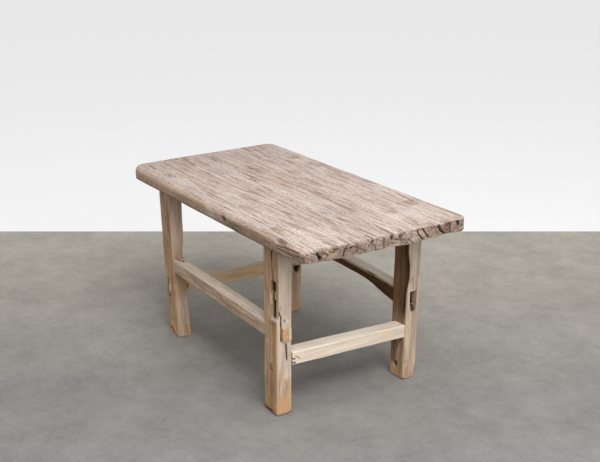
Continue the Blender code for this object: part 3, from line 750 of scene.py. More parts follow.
def plank_shape(rows, along, across):
    surface = plank_body(rows, along, across)
    points, stain = surface.points, surface.stain
    x, y, z = points.T
    flank = np.clip(1 - np.abs(surface.outward[:, Z]), 0, 1)
    end = np.abs(surface.outward[:, X])
    front, right_end = surface.facing("front"), surface.facing("right")

    # Furrows and ridges along the grain
    wander = points.copy()
    wander[:, Y] += 0.004 * noise(points, (0.22, 0.08, 1), 22)
    furrow = np.clip(1 - np.abs(noise(wander, (0.3, 0.01, 0.03), 23)) / 0.15, 0, 1)
    furrow = furrow * ease(noise(points, (0.14, 0.03, 0.03), 25), -0.2, 0.35)
    furrow = furrow * (0.7 + 0.3 * ease(x, -0.1, 0.4))
    stain("split", 0.08 * furrow * (1 - 0.7 * flank))
    ridges = layered(points, (0.22, 0.008, 0.03), 31, 2)
    surface.push -= (TOP_FURROW_DEPTH * furrow + 0.0002 * ridges) * (1 - end)
    surface.push -= 0.0005 + 0.0005 * noise(points, (0.18, 0.05, 0.05), 33)

    # The long sides are hewn in soft hollows
    hollow = 0.4 + layered(points, (0.085, 0.03, 0.022), 41)
    surface.push -= flank * (1 - end) * SIDE_HOLLOW_DEPTH * hollow

    # The ends are split into blocks that stand at different depths, and are rough and pitted
    height_share = (z - PLANK_UNDERSIDE) / (TABLE_HEIGHT - PLANK_UNDERSIDE)
    for (high_place, low_place), step in zip(END_SPLITS, np.diff(END_STEPS)):
        beyond = y - lerp(low_place, high_place, height_share)
        surface.push += right_end * step * ease(beyond, -0.0012, 0.0012)
    ends = layered(points, (0.05, 0.018, 0.014), 43)
    lumps = np.abs(layered(points, (0.05, 0.012, 0.01), 44, 2))
    pits = ease(noise(points, (1, 0.008, 0.007), 47), 0.66, 0.88)
    surface.push -= end * (0.0012 + 0.001 * ends - 0.0012 * lumps + END_PIT_DEPTH * pits)
    stain("dark", end * 0.6 * pits)
    # The upper edge of the right end is chipped between its furrows
    chips = 2 * right_end * surface.facing("top") * ease(noise(points, (1, 0.007, 1), 49), 0.0, 0.6)
    surface.push -= END_CHIP_DEPTH * chips
    stain("brown", 0.45 * chips)

    # Shaded and soiled parts of the sides
    low_share = np.clip(1 - height_share, 0, 1)
    soiled = np.interp(x, FRONT_SOIL_PLACES, FRONT_SOIL) * ease(low_share, 0.15, 0.5)
    rightward = ease(x, 0.12, 0.24) - 0.5 * ease(x, 0.29, 0.34)
    stain("brown", front * (0.1 + 0.2 * rightward + soiled + 0.4 * ease(low_share, 0.74, 0.95)))
    stain("tan", front * np.interp(x, FRONT_TAN_PLACES, FRONT_TAN))
    stain("brown", 0.1 * ease(x, -0.2, -0.4) * (1 - flank))
    end_tone = np.clip(1.8 * right_end, 0, 1)
    stain("calm", front * (1 - end_tone) * 0.85)
    paler = 1 - 0.5 * ease(y, 0.03, 0.045) * ease(y, 0.08, 0.065)
    stain("brown", end_tone * (0.42 + 0.2 * ends) * paler)
    stain("brown", end_tone * 0.78 * ease(y, 0.14, 0.16) * ease(y, 0.184, 0.17))
    stain("tan", end_tone * (0.45 + 0.3 * ease(y, 0.07, 0.12)) * (0.6 + 0.4 * ends) * paler)
    stain("grey", right_end * 0.3 * ease(y, -0.02, -0.12))

    for mark in MARKS["top_plank"]:
        surface.mark(mark)
        if mark.side == "right" and mark.tone == "dark":
            width = mark.width + END_MARK_RIM
            surface.mark(mark._replace(width=width, depth=0.0, tone="brown", amount=END_MARK_BROWN))
    for furrow in strewn_furrows("top", 7) + strewn_furrows("bottom", 8) + end_cracks(9):
        surface.mark(furrow)
    surface.push = np.minimum(surface.push, 0.0)
    return surface


def make_plank():
    along = lines_between(PLANK_LENGTHS, PLANK_LENGTH_ROWS)
    across = lines_between(PLANK_WIDTHS, PLANK_WIDTH_ROWS)
    holes = []
    for leg in LEGS.values():
        halves = [half + PLANK_MORTISE_GAP for half in leg.tenon_half]
        along, x_numbers = snapped(along, [leg.top[X] - halves[X], leg.top[X] + halves[X]])
        across, y_numbers = snapped(across, [leg.top[Y] - halves[Y], leg.top[Y] + halves[Y]])
        holes.append((Z, *zip(x_numbers, y_numbers)))
    piece = new_piece(
        "plank_top_board", PLANK_COUNTS, holes,
        lambda rows: plank_shape(rows, along, across), plank_wood,
    )
    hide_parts("top_plank")


# The legs

LEG_ROWS = (46, 36, 176)
LEG_TENON_ROWS = 6
SLOT_LINES = (-0.00305, -0.0011, 0.0011, 0.00305)
SLOT_BOTTOM = 0.434
# How round the nearest foot's edge and the others' are, and how deep their corners are chipped
NEAR_FOOT = (0.0058, 0.018)
OTHER_FEET = (0.0034, 0.01)
# How deep the back right leg is gouged above its stretcher and under the top, how much narrower its foot
# is behind, how far the front right leg is worn back, and how much narrower the front left one is behind
GOUGE_DEPTH = 0.008
UPPER_GOUGE_DEPTH = 0.0018
FOOT_PINCH_DEPTH = 0.0065
LEDGE_DEPTH = 0.0046
PINCH_DEPTH = 0.0068
# How warm each foot's wood is, how tanned each leg is, and the tones of the tenons in the top
LEG_FOOT_WARMTH = {"front_right": 0.8, "back_right": 0.14, "front_left": 0.2, "back_left": 0.75}
LEG_TANNED = {"front_right": 1.0, "back_right": 0.6, "front_left": 1.0, "back_left": 1.0}
END_GRAIN_TONES = {"grey": 0.55, "brown": 0.22}
# A crack from the shoulder into two open slots, with a sliver of wood between them. The crack and the slots
# are painted near black, painted shade inside them.
draw("leg_front_right", "front", "dark",
    (3, 3, 0.95, 0, (266.8, 426), (266.4, 412), (266.2, 390)),
    (2.6, 2, 0.6, 0, (266.2, 392), (266.8, 364), (269.5, 339.5)),
    (10.5, 8, 1, 1, (270, 342), (269.8, 330), (269.6, 313)), (4, 4, 0.95, 0, (270.6, 314), (271.2, 293.9)),
    (8.5, 9, 1, 2, (271.5, 298), (271.2, 275), (271.2, 249)),
)
draw("leg_front_right", "front", "brown",
    (5, 0, 0.12, 0, (270, 424), (272, 350)), (8, 0.8, 0.24, 1, (270, 242), (269, 150)),
    (4, 1, 0.35, 1, (264, 240), (265, 200)),
)
draw("leg_front_right", "front", "pale",
    (5, -0.4, 0.4, 1, (261, 309), (262.5, 283)), (6, 0, 0.18, 1, (255, 280), (254, 250)),
    (4, 0, 0.35, 0, (266, 246), (286, 249)),
)
draw("leg_front_right", "front", "warm", (13, 0, 0.42, 1, (276, 236), (279, 150), (277, 60)))
# The end of the right stretcher's tenon, worn and scratched
draw("leg_front_right", "front", "brown",
    (3, 1, 0.5, 0, (252, 148), (253, 129)), (17, 0, 0.75, 0, (230, 6), (248, 3), (264, 2)),
    (4, 2, 0.7, 0, (244, 30), (252, 14), (260, 4)), (8, 0, 0.14, 1, (268, 170), (269, 50)),
)
draw("leg_front_right", "front", "pale",
    (3.6, 0, 0.7, 0, (256, 159), (260, 157)), (3, 0, 0.5, 0, (265, 129), (267, 121)),
)
draw("leg_front_right", "front", "dark",
    (3.4, 2, 0.7, 0, (260, 152), (257, 146), (262, 140)),
    (3.2, 1.6, 0.7, 0, (259, 127), (257, 118), (265, 115)), (4.6, 3, 0.7, 0, (218, 9), (235, 5), (256, 6)),
)
# The crack that runs round the wedged tenon on the right side
draw("leg_front_right", "right", "dark",
    (2.6, 3, 1, 0, (-206.5, 269.6), (-197.2, 247.6), (-195.8, 224.9), (-196.2, 195)),
    (3.8, 3, 1, 1, (-187.2, 244)), (3, 3.4, 1, 1, (-182.3, 188.9), (-180.5, 164), (-179, 140)),
)
draw("leg_front_right", "right", "pale",
    (4.2, -0.4, 0.55, 0, (-192.5, 243.1), (-180, 242), (-174, 240)),
    (16, 0, 0.34, 1, (-182, 160), (-180, 90)),
)
draw("leg_front_right", "right", "warm",
    (4, 0, 0.45, 2, (-202.9, 248.4), (-202.5, 208.1), (-201.5, 150)),
    (14, 0, 0.3, 0, (-196, 115), (-185, 85), (-170, 78)),
)
draw("leg_front_right", "right", "grey", (6, 0, 0.6, 1, (-174, 380), (-173, 270)))
draw("leg_front_right", "right", "brown",
    (11, 0, 0.22, 1, (-183, 285), (-182.6, 256)), (16, 0, 0.12, 0, (-196, 45), (-175, 12)),
)
# On the back right leg's front: a nail hole, a dark strip down the gouged right corner, a small hole and a
# faint crack, painted near black as painted shade inside the holes and the gouge
draw("leg_back_right", "front", "dark",
    (8, 10, 1, 0, (263.6, 37.2), (263.6, 32.2)),
    (8.5, 3, 0.55, 1, (285, 430), (286.5, 347), (287.2, 250), (288.5, 164)),
    (5, 5, 1, 0, (290, 356), (289.5, 348)), (3, 1.2, 0.35, 1, (270, 420), (272, 330), (274, 240)),
)
draw("leg_back_right", "front", "warm",
    (10, 0, 0.6, 1, (252.6, 12.3)), (14, 0, 0.25, 0, (250, 90), (246, 40)),
)
# Painted shadow: the thin brown line and the broad brown band behind it, low on the back right leg's front,
# paint the slanting shadow of the right stretcher and the top's end
draw("leg_back_right", "front", "brown",
    (2.8, 0, 0.8, 0, (282, 109), (269, 86), (260.5, 65), (257.5, 37)),
    (24, 0, 0.9, 0, (256, 120), (248, 85), (246, 50)),
)
draw("leg_back_right", "right", "pale",
    (3.4, -0.4, 0.6, 0, (170, 240), (180, 238.5), (190, 237.2)), (2.6, 0, 0.5, 0, (172, 230), (173, 200)),
)
draw("leg_back_right", "right", "brown",
    (4, 1, 0.5, 1, (185.4, 190.5)), (7, 0, 0.6, 0, (192, 201.5), (190, 189.5)),
    (20, 0, 0.3, 0, (168, 6), (200, 6)),
)
draw("leg_back_right", "right", "dark", (8, 0, 0.95, 0, (181, 201.5), (183, 190)))
draw("leg_front_left", "front", "dark",
    (3.6, 2, 0.85, 0, (-290, 164), (-284, 163)), (6, 3, 0.85, 0, (-288, 151), (-283, 150)),
    (3.6, 2, 0.8, 0, (-288, 118), (-280, 115)), (4, 3, 0.8, 0, (-295, 16), (-285, 10), (-278, 2)),
    (4, 3, 0.7, 0, (-288, 12), (-276, 2)),
)
draw("leg_front_left", "front", "brown",
    (7, 0, 0.35, 0, (-280, 118), (-276, 95)), (3, 1, 0.22, 1, (-286, 370), (-283, 220)),
)
draw("leg_front_left", "front", "warm",
    (3, 1, 0.6, 0, (-276, 115), (-274, 95)), (5, 3, 0.8, 0, (-280, 40), (-270, 25), (-260, 12)),
    (11, 3, 1, 0, (-298, 50), (-290, 22), (-274, 7)),
)
draw("leg_front_left", "right", "warm", (7, 3, 1, 0, (-166, 30), (-159, 1)))
# A heart-shaped hole in the back left leg, painted near black as painted shade inside it, with a pale band
# above it that is a painted highlight
draw("leg_back_left", "right", "dark", (8, 10, 1, 0, (180, 137.5), (184, 126.5), (188.5, 136.5)))
draw("leg_back_left", "right", "pale", (7, 0, 0.6, 0, (174, 157), (193, 155)))


def leg_lines(leg):
    """Where a leg's rows lie, and the through mortises for the two stretchers that end in it."""
    lines = [even(-leg.size[axis] / 2, leg.size[axis] / 2, LEG_ROWS[axis]) for axis in (X, Y)]
    lines.append(even(0, SHOULDER_HEIGHT, LEG_ROWS[Z]))
    holes = []
    for stretcher in STRETCHERS.values():
        if leg.name not in stretcher.legs:
            continue
        tenon = stretcher.tenons[stretcher.legs.index(leg.name)]
        low_across, high_across = tenon.across
        low_height, high_height = tenon.heights
        if stretcher.name == "front":
            high_across += FRONT_SLOT
        if stretcher.name == "back":
            low_across -= WEDGE_SLOT
        if stretcher.axis == Y:
            low_height -= WEDGE_SLOT
        other = Y if stretcher.axis == X else X
        middle = leg_middle(leg, (low_height + high_height) / 2)[other]
        edges = [low_across - LEG_MORTISE_GAP - middle, high_across + LEG_MORTISE_GAP - middle]
        lines[other], numbers = snapped(lines[other], edges)
        edges = [low_height - LEG_MORTISE_GAP, high_height + LEG_MORTISE_GAP]
        lines[Z], z_numbers = snapped(lines[Z], edges)
        holes.append((stretcher.axis, *zip(numbers, z_numbers)))
    return lines, holes


def leg_shape(leg, rows, lines, counts):
    sides = side_flags(rows, counts)
    number = rows[:, Z]
    in_body = number <= LEG_ROWS[Z]
    half_u = np.where(in_body, leg.size[X] / 2, leg.tenon_half[X])
    half_v = np.where(in_body, leg.size[Y] / 2, leg.tenon_half[Y])
    u = lines[X][rows[:, X]]
    u = np.where(in_body, u, u / (leg.size[X] / 2) * leg.tenon_half[X])
    # In the tenon the middle rows close up to the slot for the wedge
    centre = LEG_ROWS[Y] // 2
    anchors = [0, centre - 2, centre - 1, centre + 1, centre + 2, LEG_ROWS[Y]]
    slots = [-leg.tenon_half[Y], *SLOT_LINES, leg.tenon_half[Y]]
    v = np.where(in_body, lines[Y][rows[:, Y]], np.interp(rows[:, Y], anchors, slots))
    in_slot = np.abs(rows[:, Y] - centre) <= 1
    share = np.clip((number - LEG_ROWS[Z] - 1) / LEG_TENON_ROWS, 0, 1)
    tenon_z = lerp(SHOULDER_HEIGHT, np.where(in_slot, SLOT_BOTTOM, TENON_HEIGHT), share)
    z = np.where(in_body, lines[Z][np.minimum(number, LEG_ROWS[Z])], tenon_z)

    spot = np.stack([u * 0 + leg.top[X], v * 0 + leg.top[Y], z], axis=1)
    wear = np.where(in_body, 0.0026 + 0.001 * noise(spot, (1, 1, 0.05), 51), 0.0006)
    place_u, place_v, out_u, out_v, inset = rounded(u, v, half_u, half_v, wear)
    foot, chips = NEAR_FOOT if leg.name == "front_right" else OTHER_FEET
    near_foot, turn = rim(inset, z, sides["bottom"], foot)
    spread = np.where(near_foot, inset - foot * (1 - np.sin(turn)), 0)
    place_u = place_u + out_u * spread
    place_v = place_v + out_v * spread
    z = np.where(near_foot, foot * (1 - np.cos(turn)), z)
    middle_x, middle_y = (np.where(in_body, leg_middle(leg, z)[axis], leg.top[axis]) for axis in (X, Y))
    points = np.stack([middle_x + place_u, middle_y + place_v, z], axis=1)
    upright = np.where(near_foot, 0.0, sides["top"] * 1.0 - sides["bottom"])
    aside = upright == 0
    surface = Surface(points, np.stack([out_u * aside, out_v * aside, upright], axis=1), sides)

    # x, y and z are the points' own columns, so they follow what is done to the points
    x, y, z = points.T
    stain = surface.stain
    front, left, right = (surface.facing(side) for side in ("front", "left", "right"))
    inward = np.clip((y - leg_face(leg, Y, LOW, z)) / leg.size[Y], 0, 1)
    fade = ease(SHOULDER_HEIGHT - z, 0, 0.004)
    on_side = in_body & aside
    seed = 60 + 10 * list(LEGS).index(leg.name)
    hollow, relief, check = weathered(
        points, Z, (0.04, 0.14), (0.0045, 0.16), (0.01, 0.2), (0.03, 0.03, 0.08), seed,
    )
    surface.push += on_side * fade * (0.001 * hollow + relief + 0.0003)
    stain("dark", 0.35 * on_side * check)
    stain("tan", LEG_TANNED[leg.name] * in_body * np.maximum(front, 0.15 + 0.15 * hollow))
    for tone, amount in END_GRAIN_TONES.items():
        stain(tone, amount * ~in_body)
    if leg.name == "back_left":
        stain("warm", 0.28 * ease(noise(points, (0.02, 0.02, 0.06), seed + 8), -0.6, 0.4))
    worn_foot = ease(0.085 - z + 0.02 * noise(points, (0.02, 0.02, 0.03), seed + 7), 0, 0.07)
    stain("warm", LEG_FOOT_WARMTH[leg.name] * worn_foot * (1 - 0.4 * front))
    for mark in MARKS["leg_" + leg.name]:
        surface.mark(mark)
    if leg.name == "back_right":
        # This leg's front is its own brown, and above the stretcher it is painted nearly black-brown: painted
        # shadow of the top over its own dark wood. Its right corner is gouged away above the stretcher.
        # above climbs to 1 where the top's shadow falls on the front, so the brown and tan it drives are
        # painted shadow
        above = ease(z, 0.12, 0.2)
        rightward = ease(x, 0.262, 0.282)
        stain("brown", front * lerp(0.16, lerp(0.8, 0.9, rightward), above))
        stain("tan", front * (0.8 + 0.2 * above))
        stain("warm", front * above * lerp(0.18, 0.04, rightward) * (1 - 0.5 * ease(z, 0.26, 0.22)))
        stain("warm", 0.5 * front * ease(z, 0.045, 0.01))
        stain("pale", 0.22 * right * ease(z, 0.2, 0.3))
        stain("brown", right * (0.1 + 0.14 * ease(z, 0.05, 0.0)))
        gouge = lerp(GOUGE_DEPTH, UPPER_GOUGE_DEPTH, ease(z, 0.3, 0.35))
        gouge = gouge * ease(x, 0.272, 0.293) * ease(z, 0.225, 0.285)
        points[:, Y] += in_body * gouge * fade * (1 - inward)
        points[:, Y] -= FOOT_PINCH_DEPTH * ease(z, 0.055, 0.0) * inward ** 2
    if leg.name == "front_right":
        # Above the ledge under the slots this leg's right corner is worn back
        worn = LEDGE_DEPTH * ease(x, 0.25, 0.284) * ease(z, 0.242, 0.256) * fade
        points[:, Y] += in_body * worn * (1 - inward) ** 2
        clear = 1 - ease(z, 0.18, 0.19) * ease(z, 0.242, 0.232)
        surface.push += on_side * fade * clear * (0.0022 * left + 0.0008 * front)
        stain("pale", 0.28 * right * ease(z, 0.07, 0.14))
    if leg.name == "front_left":
        # This leg is narrower behind, just above the front stretcher
        pinch = PINCH_DEPTH * ease(z, 0.2268, 0.231) * ease(z, 0.315, 0.235)
        pinch = pinch - 0.0022 * fade * ease(z, 0.33, 0.4)
        points[:, Y] -= in_body * pinch * inward ** 2
        surface.push += on_side * fade * (0.0018 * left + 0.0008 * front)
        stain("pale", 0.28 * right * ease(z, 0.22, 0.3))
        stain("tan", right * (0.18 + 0.77 * ease(z, 0.09, 0.15)))
        stain("warm", 0.12 * right * ease(z, 0.26, 0.32))
        stain("brown", 0.1 * right * ease(z, 0.18, 0.15) * ease(z, 0.09, 0.13))
    # The feet are chipped at their outer corners
    corner = np.clip(np.abs(place_u) / half_u + np.abs(place_v) / half_v - 1.5, 0, 0.5) * 2
    chipped = chips * corner * ease(noise(points, (0.04, 0.04, 1), seed + 9), -0.3, 0.8)
    points[:, Z] += in_body * chipped * ease(z, 0.012, 0.0)
    points[:, Z] = np.maximum(z, 0)
    return surface


def make_leg(leg):
    lines, holes = leg_lines(leg)
    counts = (LEG_ROWS[X], LEG_ROWS[Y], LEG_ROWS[Z] + 1 + LEG_TENON_ROWS)
    piece = new_piece(
        "leg_post_" + leg.name, counts, holes,
        lambda rows: leg_shape(leg, rows, lines, counts), leg_wood,
    )
    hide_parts("leg_" + leg.name)


# The stretchers

STRETCHER_BODY_ROWS = 170
STRETCHER_TENON_ROWS = 12
STRETCHER_SECTION_ROWS = 24
STRETCHER_FINISH = {"front": long_wood, "back": long_wood, "right": right_wood, "left": left_wood}
# How tanned each stretcher is all over
STRETCHER_TAN = {"front": 0.42, "back": 1.0, "right": 0.1, "left": 0.9}
# How far the underside is pushed out, and where along its length that differs for the back stretcher
LOWERED = 0.0014
BACK_LOWERED_PLACES = (0.6, 0.74, 0.8, 0.86, 0.92, 1.0)
BACK_LOWERED = (0.0014, -0.0016, -0.0008, 0.0026, 0.0044, 0.0036)
draw("stretcher_front", "front", "dark", (3, 1.2, 0.5, 0, (-4.6, 217.9), (21.7, 217)))
draw("stretcher_front", "top", "dark", (5, 2, 0.85, 0, (-244, -184), (-234, -176), (-227, -180)))
draw("stretcher_back", "front", "dark",
    (5, 3, 1, 1, (215, 233)), (3, 1.4, 0.7, 1, (130, 246), (170, 242)),
)
draw("stretcher_right", "right", "dark",
    (3.4, 2, 0.9, 0, (-164, 143), (-160, 142.5)), (3.4, 2, 0.9, 0, (-164, 133), (-159, 132)),
    (2, 1.5, 0.6, 1, (-160, 150), (-150, 144), (-144, 138)),
)
draw("stretcher_right", "right", "warm", (6, 0, 0.45, 1, (80, 148), (120, 146.5)))
draw("stretcher_left", "right", "dark", (4.6, 2, 0.75, 0, (-164, 158), (-156, 146), (-160, 134)))


def stretcher_shape(stretcher, rows, counts):
    axis = stretcher.axis
    other = Y if axis == X else X
    sides = side_flags(rows, counts)
    number = rows[:, axis]
    first, last = STRETCHER_TENON_ROWS, STRETCHER_TENON_ROWS + 2 + STRETCHER_BODY_ROWS
    body_share = np.clip((number - first - 1) / STRETCHER_BODY_ROWS, 0, 1)
    in_low = number <= first
    in_high = number >= last
    in_body = ~in_low & ~in_high
    across_share = rows[:, other] / counts[other]
    height_share = rows[:, Z] / counts[Z]
    bow = 4 * body_share * (1 - body_share)
    level = lerp(*stretcher.bottoms, body_share)
    bottom = level + stretcher.arch * bow
    top = level + stretcher.height + stretcher.crown * bow
    near = lerp(*stretcher.faces, body_share)
    far = near + stretcher.thickness
    for tenon, chosen in zip(stretcher.tenons, (in_low, in_high)):
        near, far = (np.where(chosen, *pair) for pair in zip(tenon.across, (near, far)))
        bottom, top = (np.where(chosen, *pair) for pair in zip(tenon.heights, (bottom, top)))
    half_u, half_v = (far - near) / 2, (top - bottom) / 2
    u = (across_share * 2 - 1) * half_u
    v = (height_share * 2 - 1) * half_v
    spot = np.zeros((len(rows), 3))
    spot[:, axis] = body_share * 0.5
    wear = np.where(in_body, 0.0028 + 0.001 * noise(spot, (0.05, 0.05, 1), 91), 0.001)
    place_u, place_v, out_u, out_v, _ = rounded(u, v, half_u, half_v, wear)
    z = (bottom + top) / 2 + place_v
    low_leg, high_leg = (LEGS[name] for name in stretcher.legs)
    low_tip, high_tip = (tenon.tip for tenon in stretcher.tenons)
    start = leg_face(low_leg, axis, HIGH, z) + JOINT_GAP
    finish = leg_face(high_leg, axis, LOW, z) - JOINT_GAP
    along = lerp(start, finish, body_share)
    along = np.where(in_low, lerp(low_tip, start, np.clip(number / first, 0, 1)), along)
    high_share = np.clip((number - last) / STRETCHER_TENON_ROWS, 0, 1)
    along = np.where(in_high, lerp(finish, high_tip, high_share), along)
    points, outward = np.zeros((2, len(rows), 3))
    points[:, axis] = along
    points[:, other] = (near + far) / 2 + place_u
    points[:, Z] = z
    tip_out = (number == counts[axis]) * 1.0 - (number == 0)
    tips = tip_out != 0
    outward[:, axis] = tip_out
    outward[:, other] = np.where(tips, 0, out_u)
    outward[:, Z] = np.where(tips, 0, out_v)
    surface = Surface(points, outward, sides)

    stain = surface.stain
    upward = surface.facing("top")
    facing = surface.facing("front" if axis == X else "right")
    seed = 100 + 10 * list(STRETCHERS).index(stretcher.name)
    hollow, relief, check = weathered(
        points, axis, (0.03, 0.12), (0.0045, 0.14), (0.009, 0.28), (0.05, 0.05, 0.03), seed,
    )
    surface.push += in_body * (0.0011 * hollow + relief + 0.0002)
    surface.push -= tips * (0.0006 + 0.0006 * layered(points, (0.006, 0.006, 0.006), seed + 8))
    stain("dark", 0.35 * in_body * check)
    stain("tan", STRETCHER_TAN[stretcher.name] * (0.8 + 0.2 * hollow) * (1 - upward))
    lower = LOWERED
    if stretcher.name == "back":
        # Its front is dark brown but for the upper edge, its own brown with painted shade as it lies deep
        # under the top, and its right tenon is painted near black in the open slot, painted shade of the slot
        lower = np.interp(body_share, BACK_LOWERED_PLACES, BACK_LOWERED)
        stain("brown", facing * np.where(in_body, ease(half_v - place_v, 0.003, 0.008), 1.0))
        stain("brown", 0.85 * tips)
        stain("pale", 0.9 * in_body * upward)
        stain("dark", 0.95 * (in_high & (sides["front"] | tips & (across_share < 0.45))))
    surface.push += in_body * lower * surface.facing("bottom")
    if stretcher.name == "front":
        # Painted highlight: a pale line along the round top front edge, where the edge catches the light
        ridge = np.clip(1 - np.hypot(place_v - half_v, place_u + half_u) / 0.006, 0, 1)
        above = upward * (1 - ridge)
        stain("pale", 0.45 * in_body * ridge)
        stain("pale", 0.48 * above)
        stain("grey", 0.06 * above)
        stain("brown", 0.24 * above * ease(noise(points, (0.016, 0.008, 1), seed + 9), 0.1, 0.7))
        stain("warm", 0.75 * tips)
    if stretcher.name == "left":
        warmth = 0.2 + 0.7 * ease(noise(points, (0.05, 0.09, 0.012), seed + 9), -0.8, 0.3)
        stain("warm", warmth * (1 - 0.5 * upward))
    if stretcher.name == "right":
        stain("brown", 0.13 * facing * ease(points[:, Y], -0.1, 0.02))
        stain("pale", 0.24 * in_body * upward)
    if axis == Y:
        stain("brown", 0.35 * ~in_body)
        stain("tan", 1.0 * ~in_body)
    for mark in MARKS["stretcher_" + stretcher.name]:
        surface.mark(mark)
    return surface


def make_stretcher(stretcher):
    counts = [STRETCHER_SECTION_ROWS] * 3
    counts[stretcher.axis] = 2 * STRETCHER_TENON_ROWS + 2 + STRETCHER_BODY_ROWS
    finish = STRETCHER_FINISH[stretcher.name]
    piece = new_piece(
        "rail_" + stretcher.name, counts, (),
        lambda rows: stretcher_shape(stretcher, rows, counts), finish,
    )
    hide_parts("stretcher_" + stretcher.name)


# The wedges

WEDGE_ROWS = 14
# How much thinner than the thick end the thin end is
WEDGE_THINNED = 0.66
# Each wedge: its node, the way it was driven, which end is thick, its thickness axis and its flat side
WEDGES = (
    *[("wedge_top_" + leg, Z, HIGH, Y, None) for leg in LEGS],
    ("wedge_front_stretcher_left", X, LOW, Y, LOW),
    ("wedge_front_stretcher_right", X, HIGH, Y, LOW),
    ("wedge_back_stretcher_left", X, LOW, Y, HIGH),
    ("wedge_right_stretcher_front", Y, LOW, Z, HIGH),
    ("wedge_right_stretcher_back", Y, HIGH, Z, HIGH),
    ("wedge_left_stretcher_front", Y, LOW, Z, HIGH),
    ("wedge_left_stretcher_back", Y, HIGH, Z, HIGH),
)
# The tones of the wedges, by the way they were driven: the upright ones show their end grain
WEDGE_TONES = {X: {"pale": 0.5, "tan": 1.0}, Y: {"tan": 1.0, "brown": 0.3}, Z: END_GRAIN_TONES}


def wedge_shape(rows, counts, name, axis, thick_end, across, seat):
    low, high = (np.array(corner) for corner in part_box(name))
    sides = side_flags(rows, counts)
    share = rows / np.asarray(counts)
    points = low + (high - low) * share
    thin = 1 - share[:, axis] if thick_end == HIGH else share[:, axis]
    middle = {None: (low[across] + high[across]) / 2, LOW: low[across], HIGH: high[across]}[seat]
    points[:, across] = middle + (points[:, across] - middle) * (1 - WEDGE_THINNED * thin)
    outward = np.zeros((len(rows), 3))
    for side, (side_axis, end) in SIDES.items():
        outward[sides[side], side_axis] = 1 if end == HIGH else -1
    lengths = np.linalg.norm(outward, axis=1)
    outward /= np.maximum(lengths, 1)[:, None]
    surface = Surface(points, outward, sides)
    rough = layered(points, along_grain(axis, 0.004, 0.03), 151, 2)
    surface.push -= 0.0003 + 0.0003 * rough + 0.0004 * (lengths > 1.1)
    for tone, amount in WEDGE_TONES[axis].items():
        surface.stain(tone, amount)
    return surface


def make_wedge(name, axis, thick_end, across, seat):
    counts = [WEDGE_ROWS] * 3
    counts[across] = WEDGE_ROWS // 2
    counts[axis] = WEDGE_ROWS * 2
    piece = new_piece(
        name.replace("wedge", "slip"), counts, (),
        lambda rows: wedge_shape(rows, counts, name, axis, thick_end, across, seat), wedge_wood,
    )
    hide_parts(name)


make_plank()
for one_leg in LEGS.values():
    make_leg(one_leg)
for one_stretcher in STRETCHERS.values():
    make_stretcher(one_stretcher)
for one_wedge in WEDGES:
    make_wedge(*one_wedge)


# Camera, floor and light

CAMERA_PLACE = (2.1047, -1.3491, 1.1901)
CAMERA_TURN = 56.463
CAMERA_PITCH = 18.659
CAMERA_LENS = 61.6
# Where the grey floor starts to grow pale and where it ends, ahead of the camera. The growing paleness is
# partly the floor's own warmer tint and partly painted light, the floor brighter farther off.
FLOOR_DARK_DEPTH = 2.3
FLOOR_DEPTH = 3.52
FLOOR_REACH = 14.0
AHEAD = (-math.sin(math.radians(CAMERA_TURN)), math.cos(math.radians(CAMERA_TURN)))


def plain_finish(name, colour, roughness, mottle, glow=0.0, far_colour=None):
    finish = Finish(name)
    clouds = finish.add("TexNoise", "Fac", {
        "Vector": finish.places, "Scale": 4.0, "Detail": 9.0, "Roughness": 0.92,
    })
    pair = [tuple(value * share for value in colour) for share in (1 - mottle, 1 + mottle)]
    tinted = finish.mixed(*pair, clouds)
    # far_colour: partly a warmer tint and partly painted light that brightens the floor farther ahead
    if far_colour:
        terms = {0: finish.places, 1: (*AHEAD, 0.0)}
        depth = finish.add("VectorMath", "Value", terms, operation="DOT_PRODUCT")
        start = CAMERA_PLACE[X] * AHEAD[X] + CAMERA_PLACE[Y] * AHEAD[Y]
        farness = finish.ranged(depth, start + FLOOR_DARK_DEPTH, start + FLOOR_DEPTH)
        tinted = finish.mixed(tinted, far_colour, farness, "MULTIPLY")
    finish.fill(finish.shader, {
        "Base Color": tinted,
        "Roughness": roughness,
        "Specular IOR Level": 0.2,
        "Emission Color": (1.0, 1.0, 1.0, 1.0),
        "Emission Strength": glow,
    })
    return finish.material


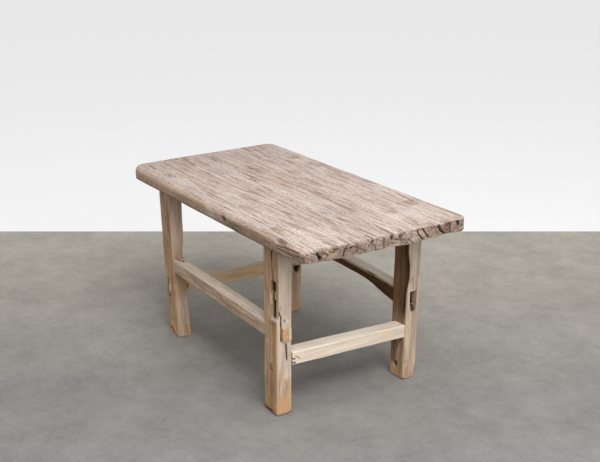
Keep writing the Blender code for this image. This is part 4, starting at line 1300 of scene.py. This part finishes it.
def floor_part(name, near, far, finish):
    """A flat floor, square to the camera's view, from one depth to another in front of it."""
    beside = (AHEAD[Y], -AHEAD[X])
    mesh = bmesh.new()
    bmesh.ops.create_grid(mesh, x_segments=1, y_segments=1, size=1.0)
    for vertex in mesh.verts:
        depth = near if vertex.co.y < 0 else far
        aside = vertex.co.x * FLOOR_REACH
        for axis in (X, Y):
            vertex.co[axis] = CAMERA_PLACE[axis] + AHEAD[axis] * depth + beside[axis] * aside
        vertex.co.z = 0.0
    data = bpy.data.meshes.new(name)
    mesh.to_mesh(data)
    mesh.free()
    data.materials.append(finish)
    part = bpy.data.objects.new(name, data)
    bpy.context.scene.collection.objects.link(part)


concrete = plain_finish("pale_concrete", (0.168, 0.162, 0.153), 0.8, 0.75, 0.0, (1.85, 1.8, 1.62))
paper = plain_finish("white_paper", (0.27, 0.27, 0.27), 0.9, 0.0, 0.57)
floor_part("grey_floor", -FLOOR_REACH, FLOOR_DEPTH, concrete)
floor_part("white_floor", FLOOR_DEPTH, FLOOR_REACH, paper)


def soft_light(name, place, aim, size, power):
    lamp = bpy.data.lights.new(name, "AREA")
    lamp.shape = "SQUARE"
    lamp.size = size
    lamp.energy = power
    light = bpy.data.objects.new(name, lamp)
    bpy.context.scene.collection.objects.link(light)
    light.location = place
    from_aim = [place[axis] - aim[axis] for axis in (X, Y, Z)]
    flat = math.hypot(from_aim[X], from_aim[Y])
    light.rotation_euler = (math.atan2(flat, from_aim[Z]), 0.0, math.atan2(from_aim[X], -from_aim[Y]))
    light.visible_camera = False


AIM = (0.0, 0.0, 0.3)
soft_light("side_softbox", (2.6, -0.5, 1.9), AIM, 2.0, 53.0)
soft_light("high_softbox", (1.75, -0.45, 2.8), AIM, 1.6, 86.0)
soft_light("top_softbox", (0.9, -0.3, 4.8), AIM, 3.0, 23.0)

world = bpy.data.worlds.new("white_studio")
world.use_nodes = True
world.node_tree.nodes["Background"].inputs["Color"].default_value = (0.76, 0.76, 0.76, 1.0)
world.node_tree.nodes["Background"].inputs["Strength"].default_value = 1.0
bpy.context.scene.world = world

camera_data = bpy.data.cameras.new("photo_camera")
camera_data.lens = CAMERA_LENS
camera_data.sensor_width = 36.0
camera = bpy.data.objects.new("photo_camera", camera_data)
bpy.context.scene.collection.objects.link(camera)
camera.location = CAMERA_PLACE
camera.rotation_euler = (math.radians(90 - CAMERA_PITCH), 0.0, math.radians(CAMERA_TURN))
bpy.context.scene.camera = camera
bpy.context.scene.view_settings.view_transform = "Standard"
